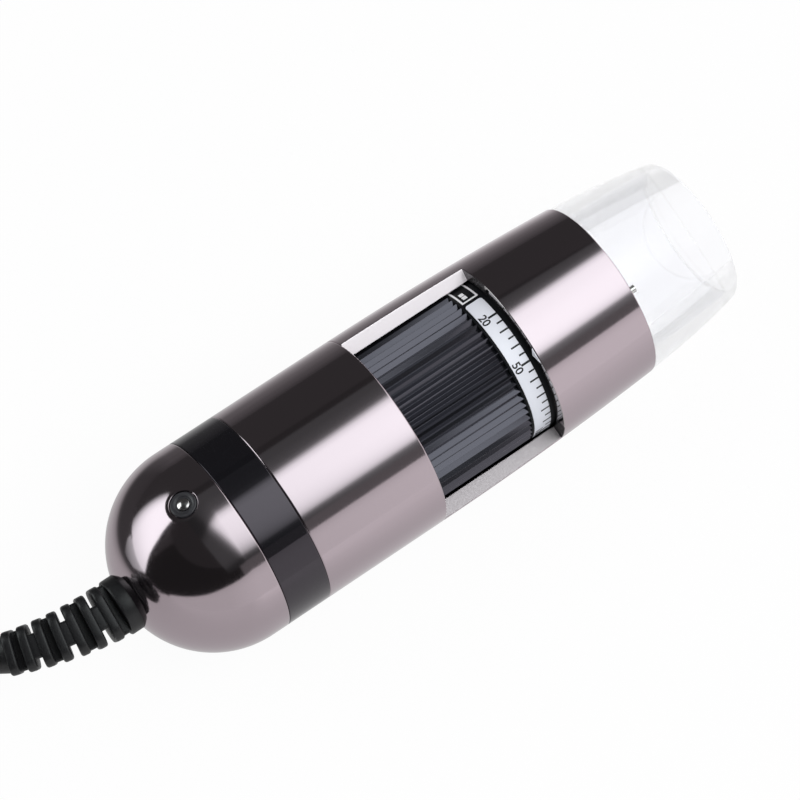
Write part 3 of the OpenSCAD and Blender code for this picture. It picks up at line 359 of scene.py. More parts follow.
def round_edge(x, r, size, ahead, steps=4):
    """Points of a rounded outer edge, from the end face to the outside when ahead is 1."""
    turns = [pi / 2 * i / steps for i in range(steps + 1)]
    points = [(x + ahead * size * (1 - cos(a)), r - size + size * sin(a)) for a in turns]
    points = [(x, r - size - EDGE_HOLD)] + points + [(x + ahead * (size + EDGE_HOLD), r)]
    return points if ahead > 0 else points[::-1]


def ring_profile(x_from, x_to, r_in, r_out, size=EDGE):
    """Section of a ring with rounded outer edges."""
    return ([(x_from, r_in)] + round_edge(x_from, r_out, size, 1) + round_edge(x_to, r_out, size, -1)
            + [(x_to, r_in)])


# Camera

LENS_PIXELS = 3760.0
IMAGE_PIXELS = 800.0
SENSOR_MM = 36.0
CAMERA_DISTANCE = 565.4
CAMERA_ROLL = radians(4.112)
target = Vector((-0.9244, 2.6394, 16.584))
back = Vector((-0.238305, -0.288650, 0.927304)).normalized()


def make_camera():
    data = bpy.data.cameras.new("camera")
    data.sensor_width = SENSOR_MM
    data.lens = LENS_PIXELS / IMAGE_PIXELS * SENSOR_MM
    data.clip_end = 20.0
    camera = stand("camera", data)
    level = Vector((0, 0, 1)).cross(back).normalized()
    rise = back.cross(level)
    right = cos(CAMERA_ROLL) * level + sin(CAMERA_ROLL) * rise
    turned = Matrix((right, back.cross(right), back)).transposed()
    camera.location = (target + CAMERA_DISTANCE * back) * MM
    camera.rotation_euler = turned.to_euler()
    bpy.context.scene.camera = camera


make_camera()

# Cord

CORD_D = 3.2
BOOT_BEND_R = 44.0
BOOT_DIP = radians(25.0)
BOOT_ROLL = radians(18.0)
BOOT_LEN = 24.0
HANK_FOLD_R = 9.6
HANK_PITCH = 4.0
HANK_DRAW = 7.0
HANK_HALF_RUN = 28.7
HANK_LAYERS = 4
LAYER_RINGS = 49
LOOP_RINGS = 24
RUN_RINGS = 4
FOLD_RINGS = 8
HANK_RINGS = HANK_LAYERS * LAYER_RINGS
HANK_SPREAD = HANK_PITCH * LAYER_RINGS / LOOP_RINGS
HANK_LOW = 2.7
HANK_LIFT = 3.7
HANK_AT = (-146.0, 2.0)
LEAD_ROUTE = [(-84, 11.2, 10.3), (-90, 14.4, 7.8), (-96, 17, 5.4), (-103, 19.2, 3.5)]
TAIL_ROUTE = [(-184, 19.6, 14.3), (-191.4, 17.6, 15.4), (-196.9, 12.2, 16.7), (-198.8, 5, 18),
              (-197, -1.8, 19), (-192, -6.4, 19.8), (-185.5, -8, 20.3)]
PLUG_TIP = Vector((-172.0, -8.0, 20.5))


def boot_point(along):
    turn = along / BOOT_BEND_R
    side = BOOT_BEND_R * (1 - cos(turn))
    return Vector((X_BOOT - BOOT_BEND_R * sin(turn), cos(BOOT_DIP) * side, AXIS_Z - sin(BOOT_DIP) * side))


def boot_heading(along):
    turn = along / BOOT_BEND_R
    return Vector((-cos(turn), cos(BOOT_DIP) * sin(turn), -sin(BOOT_DIP) * sin(turn)))


def hank_point(i):
    layer = floor(i / LAYER_RINGS)
    part = i / LAYER_RINGS - layer
    r = HANK_FOLD_R + HANK_SPREAD * (1 - part if layer % 2 == 0 else part)
    climbs = [max(0.0, min(1.0, (i - LAYER_RINGS * n + 1) / 2)) for n in range(1, HANK_LAYERS)]
    z = HANK_LOW + HANK_LIFT * sum((1 - cos(pi * c)) / 2 for c in climbs)
    q = i % LOOP_RINGS
    second_run = RUN_RINGS + FOLD_RINGS
    if q < RUN_RINGS or second_run <= q < second_run + RUN_RINGS:
        back_run = q >= second_run
        share = (q - second_run if back_run else q) / RUN_RINGS
        x = HANK_HALF_RUN - 2 * HANK_HALF_RUN * share
        y = r - HANK_DRAW * (1 - cos(2 * pi * share)) / 2
        x, y = (-x, -y) if back_run else (x, y)
    else:
        first_fold = q < second_run
        turn = pi / 2 + pi * (q - (RUN_RINGS if first_fold else second_run + RUN_RINGS)) / FOLD_RINGS
        x, y = -HANK_HALF_RUN + r * cos(turn), r * sin(turn)
        x, y = (x, y) if first_fold else (-x, -y)
    return Vector((HANK_AT[0] + x, HANK_AT[1] + y, z))


def smoothed(path, steps):
    """Points of a smooth curve through a path."""
    path = [path[0] * 2 - path[1]] + path + [path[-1] * 2 - path[-2]]
    points = []
    for a, b, c, d in zip(path, path[1:], path[2:], path[3:]):
        t1 = sqrt((b - a).length)
        t2 = t1 + sqrt((c - b).length)
        t3 = t2 + sqrt((d - c).length)
        for i in range(steps):
            t = t1 + (t2 - t1) * i / steps
            ab = a * ((t1 - t) / t1) + b * (t / t1)
            bc = b * ((t2 - t) / (t2 - t1)) + c * ((t - t1) / (t2 - t1))
            cd = c * ((t3 - t) / (t3 - t2)) + d * ((t - t2) / (t3 - t2))
            abc = ab * ((t2 - t) / t2) + bc * (t / t2)
            bcd = bc * ((t3 - t) / (t3 - t1)) + cd * ((t - t1) / (t3 - t1))
            points.append(abc * ((t2 - t) / (t2 - t1)) + bcd * ((t - t1) / (t2 - t1)))
    return points + [path[-2]]


def cord_route():
    step = Vector((CORD_D, 0, 0))
    exit_point = boot_point(BOOT_LEN)
    hank = [hank_point(i) for i in range(HANK_RINGS + 1)]
    return ([exit_point, exit_point + 5 * boot_heading(BOOT_LEN)] + [Vector(p) for p in LEAD_ROUTE]
            + [hank[0] + 2 * step, hank[0] + step] + hank + [hank[-1] - step, hank[-1] - 2 * step]
            + [Vector(p) for p in TAIL_ROUTE] + [PLUG_TIP - step, PLUG_TIP])


def make_cord():
    route = smoothed(cord_route(), 4)
    data = bpy.data.curves.new("cord", "CURVE")
    data.dimensions = "3D"
    data.bevel_depth = CORD_D / 2 * MM
    data.bevel_resolution = 4
    data.use_fill_caps = True
    spline = data.splines.new("POLY")
    spline.points.add(len(route) - 1)
    for point, place in zip(spline.points, route):
        point.co = (*(place * MM), 1.0)
    spline.use_smooth = True
    data.materials.append(finishes["lead_black"])
    piece = stand("cord", data)
    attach(piece, "housing")
    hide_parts("cord_lead", "cord_hank", "cord_tail")
    return piece


cord = make_cord()

# Strain relief

BOOT_COLLAR = 2.4
SLOT_PITCH = 2.45
SLOT_W = 0.95
BOOT_SLOTS = 7
BOOT_W = 9.1
BOOT_TAPER = 0.145
SLOT_WEB = 3.8
RIB_EDGE = 0.38
RIB_CORNER = 0.27
COLLAR_EDGE = 0.3
WEB_INSET = 0.6
WEB_LAP = 0.4
WEB_CORNER = 0.5
WEB_EDGE = 0.1
NECK_R = 3.0
BOOT_TIP_R = 2.0


def boot_frame(along):
    """Place and direction of a section of the strain relief, its own z outwards."""
    turn = along / BOOT_BEND_R
    shift = Vector((-BOOT_BEND_R * sin(turn), BOOT_BEND_R * (1 - cos(turn)), 0))
    return (Matrix.Translation((X_BOOT, 0, AXIS_Z)) @ Matrix.Rotation(-BOOT_DIP, 4, "X")
            @ Matrix.Translation(shift) @ Matrix.Rotation(-turn, 4, "Z")
            @ Matrix.Rotation(BOOT_DIP + BOOT_ROLL, 4, "X") @ Matrix.Rotation(-pi / 2, 4, "Y"))


def rounded_outline(half_w, half_h, corner, steps=6):
    """Rectangle with rounded corners."""
    points = []
    for sx, sy, start in ((1, 1, 0), (-1, 1, 90), (-1, -1, 180), (1, -1, 270)):
        for i in range(steps + 1):
            a = radians(start + 90 * i / steps)
            points.append((sx * (half_w - corner) + corner * cos(a),
                           sy * (half_h - corner) + corner * sin(a)))
    return points


def circle(r, count):
    return [(r * cos(2 * pi * i / count), r * sin(2 * pi * i / count)) for i in range(count)]


def plate(points, faces, along, length, outline, edge):
    """Adds a plate with rounded edges, square to the bend, from a distance along it."""
    place = boot_frame(along)
    loops = []
    reach = max(max(abs(x), abs(y)) for x, y in outline)
    for a in [pi / 2 * i / 3 for i in range(4)]:
        loops.append((edge * (1 - cos(a)), 1 - edge / reach * (1 - sin(a))))
    loops += [(length - z, share) for z, share in reversed(loops)]
    rings = [[place @ Vector((share * x, share * y, z)) for x, y in outline] for z, share in loops]
    add_loops(points, faces, rings)


def make_boot():
    points, faces = [], []
    plate(points, faces, 0, BOOT_COLLAR, circle(BOOT_W / 2, 64), COLLAR_EDGE)
    for i in range(BOOT_SLOTS):
        along = BOOT_COLLAR + i * SLOT_PITCH
        w = BOOT_W - BOOT_TAPER * along
        web = (SLOT_WEB / 2, (w - WEB_INSET) / 2)
        half_w, half_h = web if i % 2 == 0 else web[::-1]
        plate(points, faces, along - WEB_LAP, SLOT_W + 2 * WEB_LAP,
              rounded_outline(half_w, half_h, WEB_CORNER), WEB_EDGE)
        plate(points, faces, along + SLOT_W, SLOT_PITCH - SLOT_W,
              rounded_outline(w / 2, w / 2, RIB_CORNER * w), RIB_EDGE)
    neck_from = BOOT_COLLAR + BOOT_SLOTS * SLOT_PITCH - WEB_LAP
    neck = []
    for i in range(9):
        place = boot_frame(neck_from + (BOOT_LEN - neck_from) * i / 8)
        r = NECK_R + (BOOT_TIP_R - NECK_R) * i / 8
        neck.append([place @ Vector((x, y, 0)) for x, y in circle(r, 40)])
    add_loops(points, faces, neck)
    return make("strain_relief_body", points, faces, finishes["lead_black"], "lead_black", "housing",
                ("strain_relief",), sharp=40)


boot = make_boot()

# Tie and plug

TIE_X = (-150.0, -142.0)
TIE_Y = 2.0
TIE_HALF = 14.4
TIE_TOP = 16.45
TIE_T = 0.8
TIE_CORNER = 4.0
TIE_EDGE = 0.25
TIE_EDGE_PULL = 0.3
# Plug's grip by distance from the cord's end: half its width, half its height and its corner
GRIP_NECK = [(0.0, 1.95, 1.95, 1.9), (4.0, 2.45, 2.45, 2.4), (7.7, 3.0, 3.0, 2.9), (8.0, 3.6, 3.3, 1.5),
             (8.3, 6.4, 3.6, 1.5), (8.7, 7.2, 3.85, 1.5), (9.2, 7.5, 4.0, 1.5), (11.5, 7.75, 4.0, 1.5)]
GRIP_GROOVE = [(0.0, 7.7, 4.0, 1.5), (0.25, 7.4, 3.75, 1.4), (0.85, 7.4, 3.75, 1.4), (1.1, 7.7, 4.0, 1.5)]
GRIP_FRONT = [(25.0, 7.75, 4.0, 1.5), (29.4, 7.75, 4.0, 1.5), (29.8, 7.6, 3.85, 1.4), (30.0, 7.3, 3.5, 1.2)]
GROOVE_FROM = 13.0
GROOVE_PITCH = 2.2
GROOVES = 5


def make_tie():
    """A flat strap round the hank."""
    def section(size):
        half = TIE_HALF - size
        return [(TIE_Y + y, TIE_TOP / 2 + z) for y, z in
                rounded_outline(half, TIE_TOP / 2 - size, TIE_CORNER - size, 8)]
    edge = [(TIE_X[0], TIE_EDGE_PULL), (TIE_X[0] + TIE_EDGE, 0.0), (TIE_X[1] - TIE_EDGE, 0.0),
            (TIE_X[1], TIE_EDGE_PULL)]
    loops = []
    for (oy, oz), (iy, iz) in zip(section(0), section(TIE_T)):
        outside = [Vector((x, oy + (iy - oy) * s, oz + (iz - oz) * s)) for x, s in edge]
        inside = [Vector((x, iy + (oy - iy) * s, iz + (oz - iz) * s)) for x, s in reversed(edge)]
        loops.append(outside + inside)
    return make("tie_strap", *loops_to_mesh(loops), finishes["tie_web"], "lead_black", "housing",
                ("hank_tie",), sharp=50)


def make_grip():
    """The plug's moulded grip: a tapered neck, a grooved body and a rounded front."""
    stations = list(GRIP_NECK)
    for i in range(GROOVES):
        stations += [(GROOVE_FROM + GROOVE_PITCH * i + along, *size) for along, *size in GRIP_GROOVE]
    loops = []
    for along, half_w, half_h, corner in stations + GRIP_FRONT:
        outline = rounded_outline(half_w, half_h, corner, 8)
        loops.append([PLUG_TIP + Vector((along, y, z)) for y, z in outline])
    return make("plug_grip_body", *loops_to_mesh(loops, close_across=False), finishes["lead_black"],
                "lead_black", "housing", ("plug_grip",), sharp=40)


tie = make_tie()
grip = make_grip()

# Housing

BUTTON_AXIS = Vector((-0.187381, 0.182378, 0.965208)).normalized()
BUTTON_SIDE = BUTTON_AXIS.cross(Vector((0, 1, 0))).normalized()
BUTTON_UP = BUTTON_AXIS.cross(BUTTON_SIDE).normalized()
DOME_CENTRE = Vector((X_DOME, 0, AXIS_Z))
RECESS_R = 2.15
RECESS_FLOOR = 15.35
SEAT_ROUND = 0.13
SEAT_ROUND_END = radians(81.6)
BARREL_HOLE_R = 1.75


def from_button(height, r, turn):
    """Point at a height along the button's axis from the dome's centre, and at a distance from that axis."""
    across = cos(turn) * BUTTON_SIDE + sin(turn) * BUTTON_UP
    return DOME_CENTRE + height * BUTTON_AXIS + r * across


def on_sphere(r, lean, turn):
    """Point on a sphere about the dome's centre, leaning away from the button's axis."""
    return from_button(r * cos(lean), r * sin(lean), turn)


def to_equator(turn):
    """Lean at which the arc from the button reaches the dome's straight part."""
    across = cos(turn) * BUTTON_SIDE + sin(turn) * BUTTON_UP
    return atan2(-BUTTON_AXIS.x, across.x)


def dome_turns(count):
    """Turns about the button, shared between even steps round it and even steps round the body."""
    fine = 7200
    measure = [0.0]
    last = None
    for i in range(fine + 1):
        turn = 2 * pi * i / fine
        place = on_sphere(1.0, to_equator(turn), turn) - DOME_CENTRE
        if last is not None:
            measure.append(measure[-1] + 2 * pi / fine + place.angle(last))
        last = place
    turns = []
    k = 0
    for i in range(count):
        wanted = measure[-1] * i / count
        while measure[k + 1] < wanted:
            k += 1
        part = (wanted - measure[k]) / (measure[k + 1] - measure[k])
        turns.append(2 * pi * (k + part) / fine)
    return turns


def make_dome():
    """Dome with the button's seat: each loop runs from the seat to the body and back inside."""
    rim_turns = [SEAT_ROUND_END * i / 5 for i in range(6)]
    rim = [(SEAT_ROUND * sin(a), RECESS_R + SEAT_ROUND * (1 - cos(a))) for a in rim_turns]
    rim_foot = sqrt(BODY_R ** 2 - rim[-1][1] ** 2) - rim[-1][0]
    first = asin(rim[-1][1] / BODY_R)
    steps = 72
    loops = []
    for turn in dome_turns(360):
        end = to_equator(turn)
        edge = on_sphere(1.0, end, turn) - DOME_CENTRE
        straight = [(X_DOME + (X_BAND - X_DOME) * s, BODY_R) for s in (0.3, 0.6)]
        straight += round_edge(X_BAND, BODY_R, EDGE, -1)
        loop = [from_button(RECESS_FLOOR, BARREL_HOLE_R, turn), from_button(RECESS_FLOOR, RECESS_R, turn)]
        loop += [from_button(rim_foot + rise, r, turn) for rise, r in rim]
        loop += [on_sphere(BODY_R, first + (end - first) * (i / steps), turn) for i in range(1, steps + 1)]
        loop += [Vector((x, 0, AXIS_Z)) + r * edge for x, r in straight]
        loop += [Vector((X_BAND, 0, AXIS_Z)) + BORE_R * edge, Vector((X_DOME, 0, AXIS_Z)) + BORE_R * edge]
        inner_lean = asin(BARREL_HOLE_R / BORE_R)
        loop += [on_sphere(BORE_R, end + (inner_lean - end) * i / 24, turn) for i in range(1, 25)]
        loops.append(loop)
    return make("dome_shell", *loops_to_mesh(loops), finishes["shell_metal"], "shell_metal", "housing",
                ("rear_dome",), sharp=30)


def sleeve_r(x):
    along = x - X_SEAM
    return BODY_R - SLEEVE_CURVE_R + sqrt(SLEEVE_CURVE_R ** 2 - along ** 2)


# Clock angles between which the window's end wall keeps its metal; outside them its corners are painted shade
END_UNSHADED = (-24.0, 84.0)
CUT_EDGE = 0.16
BAND_EDGE = 0.12


def make_front_sleeve():
    """Tapered sleeve with the finger window: an outer and an inner grid, joined at every edge."""
    step = 1.5
    count = round(360 / step)
    turns = [WINDOW_FROM + step * i for i in range(count)]
    open_columns = round((WINDOW_TO - WINDOW_FROM) / step)
    window_xs = [X_SEAM + (X_WINDOW - X_SEAM) * i / 6 for i in range(7)]
    nose_xs = [X_WINDOW + (X_SHOULDER - X_WINDOW) * i / 4 for i in range(1, 5)]
    rim_xs = [X_SHOULDER + (X_RIM - X_SHOULDER) * i / 3 for i in range(4)]
    rows = [(x, sleeve_r(x), BORE_R) for x in window_xs + nose_xs]
    rows += [(x, sleeve_r(x), NOSE_BORE_R) for x in rim_xs]
    total = len(rows)
    wall_row = len(window_xs) - 1
    points = [at(x, r, turn) for turn in turns for x, r, inner in rows]
    points += [at(x, inner, turn) for turn in turns for x, r, inner in rows]
    inside = count * total
    step_row = len(window_xs) + len(nose_xs)
    faces = []
    end_wall = []
    for i in range(count):
        a, b = i * total, (i + 1) % count * total
        opened = i < open_columns
        for j in range(wall_row if opened else 0, total - 1):
            if j == step_row - 1:
                faces.append((inside + a + j, inside + b + j, inside + b + j + 1, inside + a + j + 1))
                continue
            k = j + 1
            faces.append((a + j, b + j, b + k, a + k))
            faces.append((inside + a + j, inside + a + k, inside + b + k, inside + b + j))
        j = wall_row if opened else 0
        if opened:
            end_wall.append((len(faces), turns[i]))
        faces.append((a + j, inside + a + j, inside + b + j, b + j))
        j = total - 1
        faces.append((a + j, b + j, inside + b + j, inside + a + j))
    cut_from = len(faces)
    for column in (0, open_columns):
        a = column * total
        for j in range(wall_row):
            faces.append((a + j, a + j + 1, inside + a + j + 1, inside + a + j))
    for i in range(count):
        points[i * total + step_row] = points[i * total + step_row - 1]
    piece = make("front_sleeve_shell", points, faces, finishes["shell_metal"], "shell_metal", "housing",
                 ("front_sleeve",))
    # The upper cut face is near-white and not metal: a painted highlight for the light it takes from above;
    # the lower face keeps the metal
    piece.data.materials.append(cut_metal("cut_upper_painted_highlight", (1.0, 0.95, 0.985), 0.55, 0.0, 0.02, 0.1))
    piece.data.materials.append(cut_metal("cut_lower", (0.52, 0.47, 0.49), 0.5, 1.0, 0.16, 0.6))
    # The upper cut face gets the painted highlight and the lower one the metal
    for k in range(2 * wall_row):
        piece.data.polygons[cut_from + k].material_index = 1 if k < wall_row else 2
    piece.data.materials.append(cut_metal("cut_end", (0.46, 0.43, 0.43), 0.1, 1.0, 0.05, 0.02))
    # Near-black finish for the end wall's corners: painted shade
    piece.data.materials.append(cut_metal("cut_corner_painted_shade", (0.075, 0.07, 0.075), 0.3, 0.9, 0.1, 0.1))
    # End wall faces outside the unshaded angles get the painted shade
    for k, turn in end_wall:
        piece.data.polygons[k].material_index = 3 if END_UNSHADED[0] < turn < END_UNSHADED[1] else 4
    weld(piece, 1e-7)
    bevel = piece.modifiers.new("edges", "BEVEL")
    bevel.width = CUT_EDGE * MM
    bevel.segments = 3
    bevel.limit_method = "ANGLE"
    bevel.angle_limit = radians(40)
    bevel.harden_normals = True
    return piece


make_dome()
lathe("band_ring", ring_profile(X_BAND, X_REAR, BORE_R, BODY_R, BAND_EDGE), finishes["band_black"],
      "band_black", "housing", ("label_band",))
lathe("rear_sleeve_shell", ring_profile(X_REAR, X_SEAM, BORE_R, BODY_R), finishes["shell_metal"],
      "shell_metal", "housing", ("rear_sleeve",))
make_front_sleeve()

# Button


def button_lathe(name, profile, material, slot, body, replaced, segments=96):
    """Closed profile of (height, r) turned round the button's axis, or with a pole where r is zero."""
    loops = [[from_button(h, r, 2 * pi * i / segments) for h, r in profile] for i in range(segments)]
    piece = make(name, *loops_to_mesh(loops), material, slot, body, replaced)
    weld(piece, 1e-8, slivers=True)
    return piece


# Collar's section by height along the button's axis and distance from it
COLLAR = [(15.36, 1.02), (15.36, 2.0), (15.76, 2.0), (15.85, 1.97), (15.91, 1.9), (15.93, 1.8), (15.91, 1.6),
          (15.86, 1.36), (15.80, 1.30), (15.74, 1.28), (15.70, 1.22), (15.72, 1.12), (15.70, 1.05),
          (15.62, 1.02)]
BUTTON_R = 0.95
BUTTON_FOOT = 15.1
CROWN_TOP = 16.1
CROWN_CURVE_R = 2.0
CROWN_R = 0.86


def make_button():
    button_lathe("collar_ring", COLLAR, finishes["collar_satin"], "frame_black", "housing",
                 ("button_collar",))
    crown = []
    for i in range(9):
        r = CROWN_R * (1 - i / 8)
        crown.append((CROWN_TOP - CROWN_CURVE_R + sqrt(CROWN_CURVE_R ** 2 - r ** 2), r))
    low = crown[0][0]
    side = [(BUTTON_FOOT, 0.0), (BUTTON_FOOT, BUTTON_R), (low - 0.14, BUTTON_R),
            (low - 0.06, BUTTON_R - 0.01), (low - 0.015, BUTTON_R - 0.045)]
    button_lathe("button_crown", side + crown, finishes["button_metal"], "button_metal", "button",
                 ("snapshot_button",))


make_button()

# Focus dial

X_DIAL = X_SEAM - 0.9
X_RIB_END = X_SEAM + 17.9
X_STRIP = X_SEAM + 18.3
X_STRIP_END = X_SEAM + 21.4
X_DIAL_END = X_SEAM + 23.8
DIAL_R = 13.05
DIAL_BORE_R = 11.1
RIB_COUNT = 60
RIB_DEPTH = 0.59
STRIP_SEAT = 0.22
STRIP_T = 0.2
STRIP_TURN = -26.0
STRIP_SPAN = 269.0
# Ridged rib by degrees from its crest and share of its depth, its flanks at about 42 degrees
RIB_SHAPE = [(-3.0, 1.0), (-2.93, 1.0), (-0.1, 0.0), (0.1, 0.0), (2.93, 1.0)]


def make_dial():
    """Ribbed dial with a plain rim, and a seat for the scale in it."""
    loops = []
    for i in range(RIB_COUNT):
        for offset, depth in RIB_SHAPE:
            turn = 360 * (i + 0.5) / RIB_COUNT + offset
            rib_r = DIAL_R - RIB_DEPTH * depth
            in_seat = (turn - STRIP_TURN) % 360 <= STRIP_SPAN
            seat_r = DIAL_R - (STRIP_SEAT if in_seat else 0.0)
            section = [(X_DIAL, DIAL_BORE_R), (X_DIAL, rib_r - 0.1), (X_DIAL + 0.1, rib_r),
                       (X_RIB_END - 0.06, rib_r), (X_RIB_END, rib_r - 0.03),
                       (X_RIB_END + 0.02, DIAL_R - 0.08), (X_RIB_END + 0.1, DIAL_R), (X_STRIP - 0.06, DIAL_R),
                       (X_STRIP, DIAL_R - 0.02), (X_STRIP + 0.02, seat_r - 0.01),
                       (X_STRIP_END - 0.02, seat_r - 0.01),
                       (X_STRIP_END, DIAL_R - 0.02), (X_STRIP_END + 0.06, DIAL_R), (X_DIAL_END - 0.1, DIAL_R),
                       (X_DIAL_END, DIAL_R - 0.1), (X_DIAL_END, DIAL_BORE_R)]
            loops.append([at(x, r, turn) for x, r in section])
    piece = make("dial_drum", *loops_to_mesh(loops), finishes["dial_black"], "dial_black", "dial",
                 ("focus_dial",), sharp=32)
    piece.data.materials.append(rib_black())
    for face in piece.data.polygons:
        face.material_index = 1 if face.center.x < X_RIB_END * MM else 0
    return piece


def arc_plate(points, faces, turns, edges, r_in, r_out):
    """Adds a thin curved plate between two edges at each clock angle."""
    loops = []
    for turn, (x_from, x_to) in zip(turns, edges):
        loops.append([at(x_from, r_in, turn), at(x_from, r_out, turn),
                      at(x_to, r_out, turn), at(x_to, r_in, turn)])
    add_loops(points, faces, loops)


def make_strip():
    """White scale with rounded corners at its ends."""
    corner = 0.45
    per_mm = 180 / pi / DIAL_R
    ends = [corner * (1 - cos(pi / 2 * i / 8)) for i in range(9)]
    turns = [STRIP_TURN + 0.2 + s * per_mm for s in ends]
    last = STRIP_TURN + STRIP_SPAN - 0.2
    turns += [turns[-1] + (last - corner * per_mm - turns[-1]) * i / 180 for i in range(1, 180)]
    turns += [last - s * per_mm for s in reversed(ends)]
    edges = []
    for turn in turns:
        inset = min((turn - turns[0]) / per_mm, (last - turn) / per_mm, corner)
        pull = corner - sqrt(max(0.0, corner ** 2 - (corner - inset) ** 2))
        edges.append((X_STRIP + 0.04 + pull, X_STRIP_END - 0.04 - pull))
    points, faces = [], []
    arc_plate(points, faces, turns, edges, DIAL_R - STRIP_T, DIAL_R)
    return make("scale_band", points, faces, finishes["scale_white"], "scale_white", "dial", ("scale_strip",),
                sharp=40)


INK_R = (DIAL_R - 0.005, DIAL_R + 0.018)
SCALE_FIRST = 20
SCALE_LAST = 200
NUMBERED = (20, 50, 100, 150, 200)
TURN_AT_FIRST = -8.2
TURN_PER_FIVE = 6.43
TURN_GROWTH = 0.000131
TICK_W = 0.27
LONG_TICK = 1.5
SHORT_TICK = 1.0
BOLD_TICK = 1.25
TICK_GAP = 0.05


def scale_turn(value):
    fives = (value - SCALE_FIRST) / 5
    return TURN_AT_FIRST + TURN_PER_FIVE * fives + TURN_GROWTH * fives ** 3


def make_ticks():
    """Scale lines, long at the tens and short at the fives."""
    points, faces = [], []
    for value in range(SCALE_FIRST, SCALE_LAST + 1, 5):
        length = LONG_TICK if value % 10 == 0 else SHORT_TICK
        bold = BOLD_TICK if value in NUMBERED else 1.0
        half = TICK_W * bold / 2 / DIAL_R * 180 / pi
        middle = scale_turn(value)
        foot = X_STRIP_END - TICK_GAP
        edge = (foot - length, foot)
        arc_plate(points, faces, [middle - half, middle, middle + half], [edge] * 3, *INK_R)
    return make("scale_ticks", points, faces, finishes["ink_black"], "dial_black", "dial", sharp=40)


DIGIT_H = 1.32
DIGIT_BOLD = 0.018
DIGIT_GAP = 0.28


def make_numbers():
    """Plain numbers on the scale, wrapped round the dial."""
    points, faces = [], []
    for value in NUMBERED:
        words = bpy.data.curves.new("digits", "FONT")
        words.body = str(value)
        words.align_x = "CENTER"
        words.size = 1.0
        words.offset = DIGIT_BOLD
        words.resolution_u = 4
        words.extrude = 0.5
        holder = stand("digits", words)
        bpy.context.view_layer.update()
        shape = bpy.data.meshes.new_from_object(holder.evaluated_get(bpy.context.evaluated_depsgraph_get()))
        height = max(v.co.y for v in shape.vertices)
        scale = DIGIT_H / height
        first = len(points)
        for v in shape.vertices:
            turn = scale_turn(value) + v.co.x * scale / DIAL_R * 180 / pi
            r = INK_R[0] if v.co.z < 0 else INK_R[1]
            points.append(at(X_STRIP + DIGIT_GAP + v.co.y * scale, r, turn))
        faces += [tuple(first + k for k in p.vertices) for p in shape.polygons]
        bpy.data.objects.remove(holder)
        bpy.data.curves.remove(words)
        bpy.data.meshes.remove(shape)
    return make("scale_numbers", points, faces, finishes["ink_black"], "dial_black", "dial", sharp=40)


ICON_LINE = 0.32
ICON_LEN = 5.2
ICON_INSET = 0.1
ICON_TURN = STRIP_TURN - 2.6
BLOCK_LEN = 0.8
BLOCK_ROWS = (0.8, 1.75)
BLOCK_X = (0.75, 1.5)


def make_icon():
    """Plain frame with two blocks in it, before the scale's start."""
    points, faces = [], []
    per_mm = 180 / pi / DIAL_R
    line = ICON_LINE * per_mm
    turn_end = ICON_TURN
    turn_start = turn_end - ICON_LEN * per_mm
    x_from, x_to = X_STRIP + ICON_INSET, X_STRIP_END - ICON_INSET

    def block(turn_a, turn_b, x_a, x_b):
        turns = [turn_a + (turn_b - turn_a) * i / 4 for i in range(5)]
        arc_plate(points, faces, turns, [(x_a, x_b)] * 5, *INK_R)

    block(turn_end - line, turn_end, x_from, x_to)
    block(turn_start, turn_start + line, x_from, x_to)
    block(turn_start + line, turn_end - line, x_from, x_from + ICON_LINE)
    block(turn_start + line, turn_end - line, x_to - ICON_LINE, x_to)
    for row in BLOCK_ROWS:
        near = turn_end - row * per_mm
        block(near - BLOCK_LEN * per_mm, near, x_from + BLOCK_X[0], x_from + BLOCK_X[1])
    return make("scale_icon", points, faces, finishes["ink_white"], "scale_white", "dial", sharp=40)


make_dial()
make_strip()
make_ticks()
make_numbers()
make_icon()

# Clear cap

CAP_R = 14.5
CAP_CURVE_R = 110.0
CAP_LEAN = radians(3.15)
CAP_LEN = 17.8
CAP_WALL = 1.3
LIP_ROUND = 0.9
# Lean of the outer curve where the lip's rounding starts, so that the lip ends at the cap's length
CAP_LEAN_END = asin((CAP_LEN - LIP_ROUND + CAP_CURVE_R * sin(CAP_LEAN)) / (CAP_CURVE_R - LIP_ROUND))
SPIGOT_R = 12.95
CAP_BORE_R = 11.95
SPIGOT_LEN = 4.0
NOTCH_R = 13.05
NOTCH_LEN = 1.0
NOTCH_HALF = 0.8
NOTCH_MID_R = 13.85


def cap_point(depth, lean):
    r = CAP_CURVE_R - depth
    return (X_RIM - CAP_CURVE_R * sin(CAP_LEAN) + r * sin(lean),
            CAP_R - CAP_CURVE_R * cos(CAP_LEAN) + r * cos(lean))


MOUTH_R = cap_point(0, CAP_LEAN_END)[1] - CAP_WALL


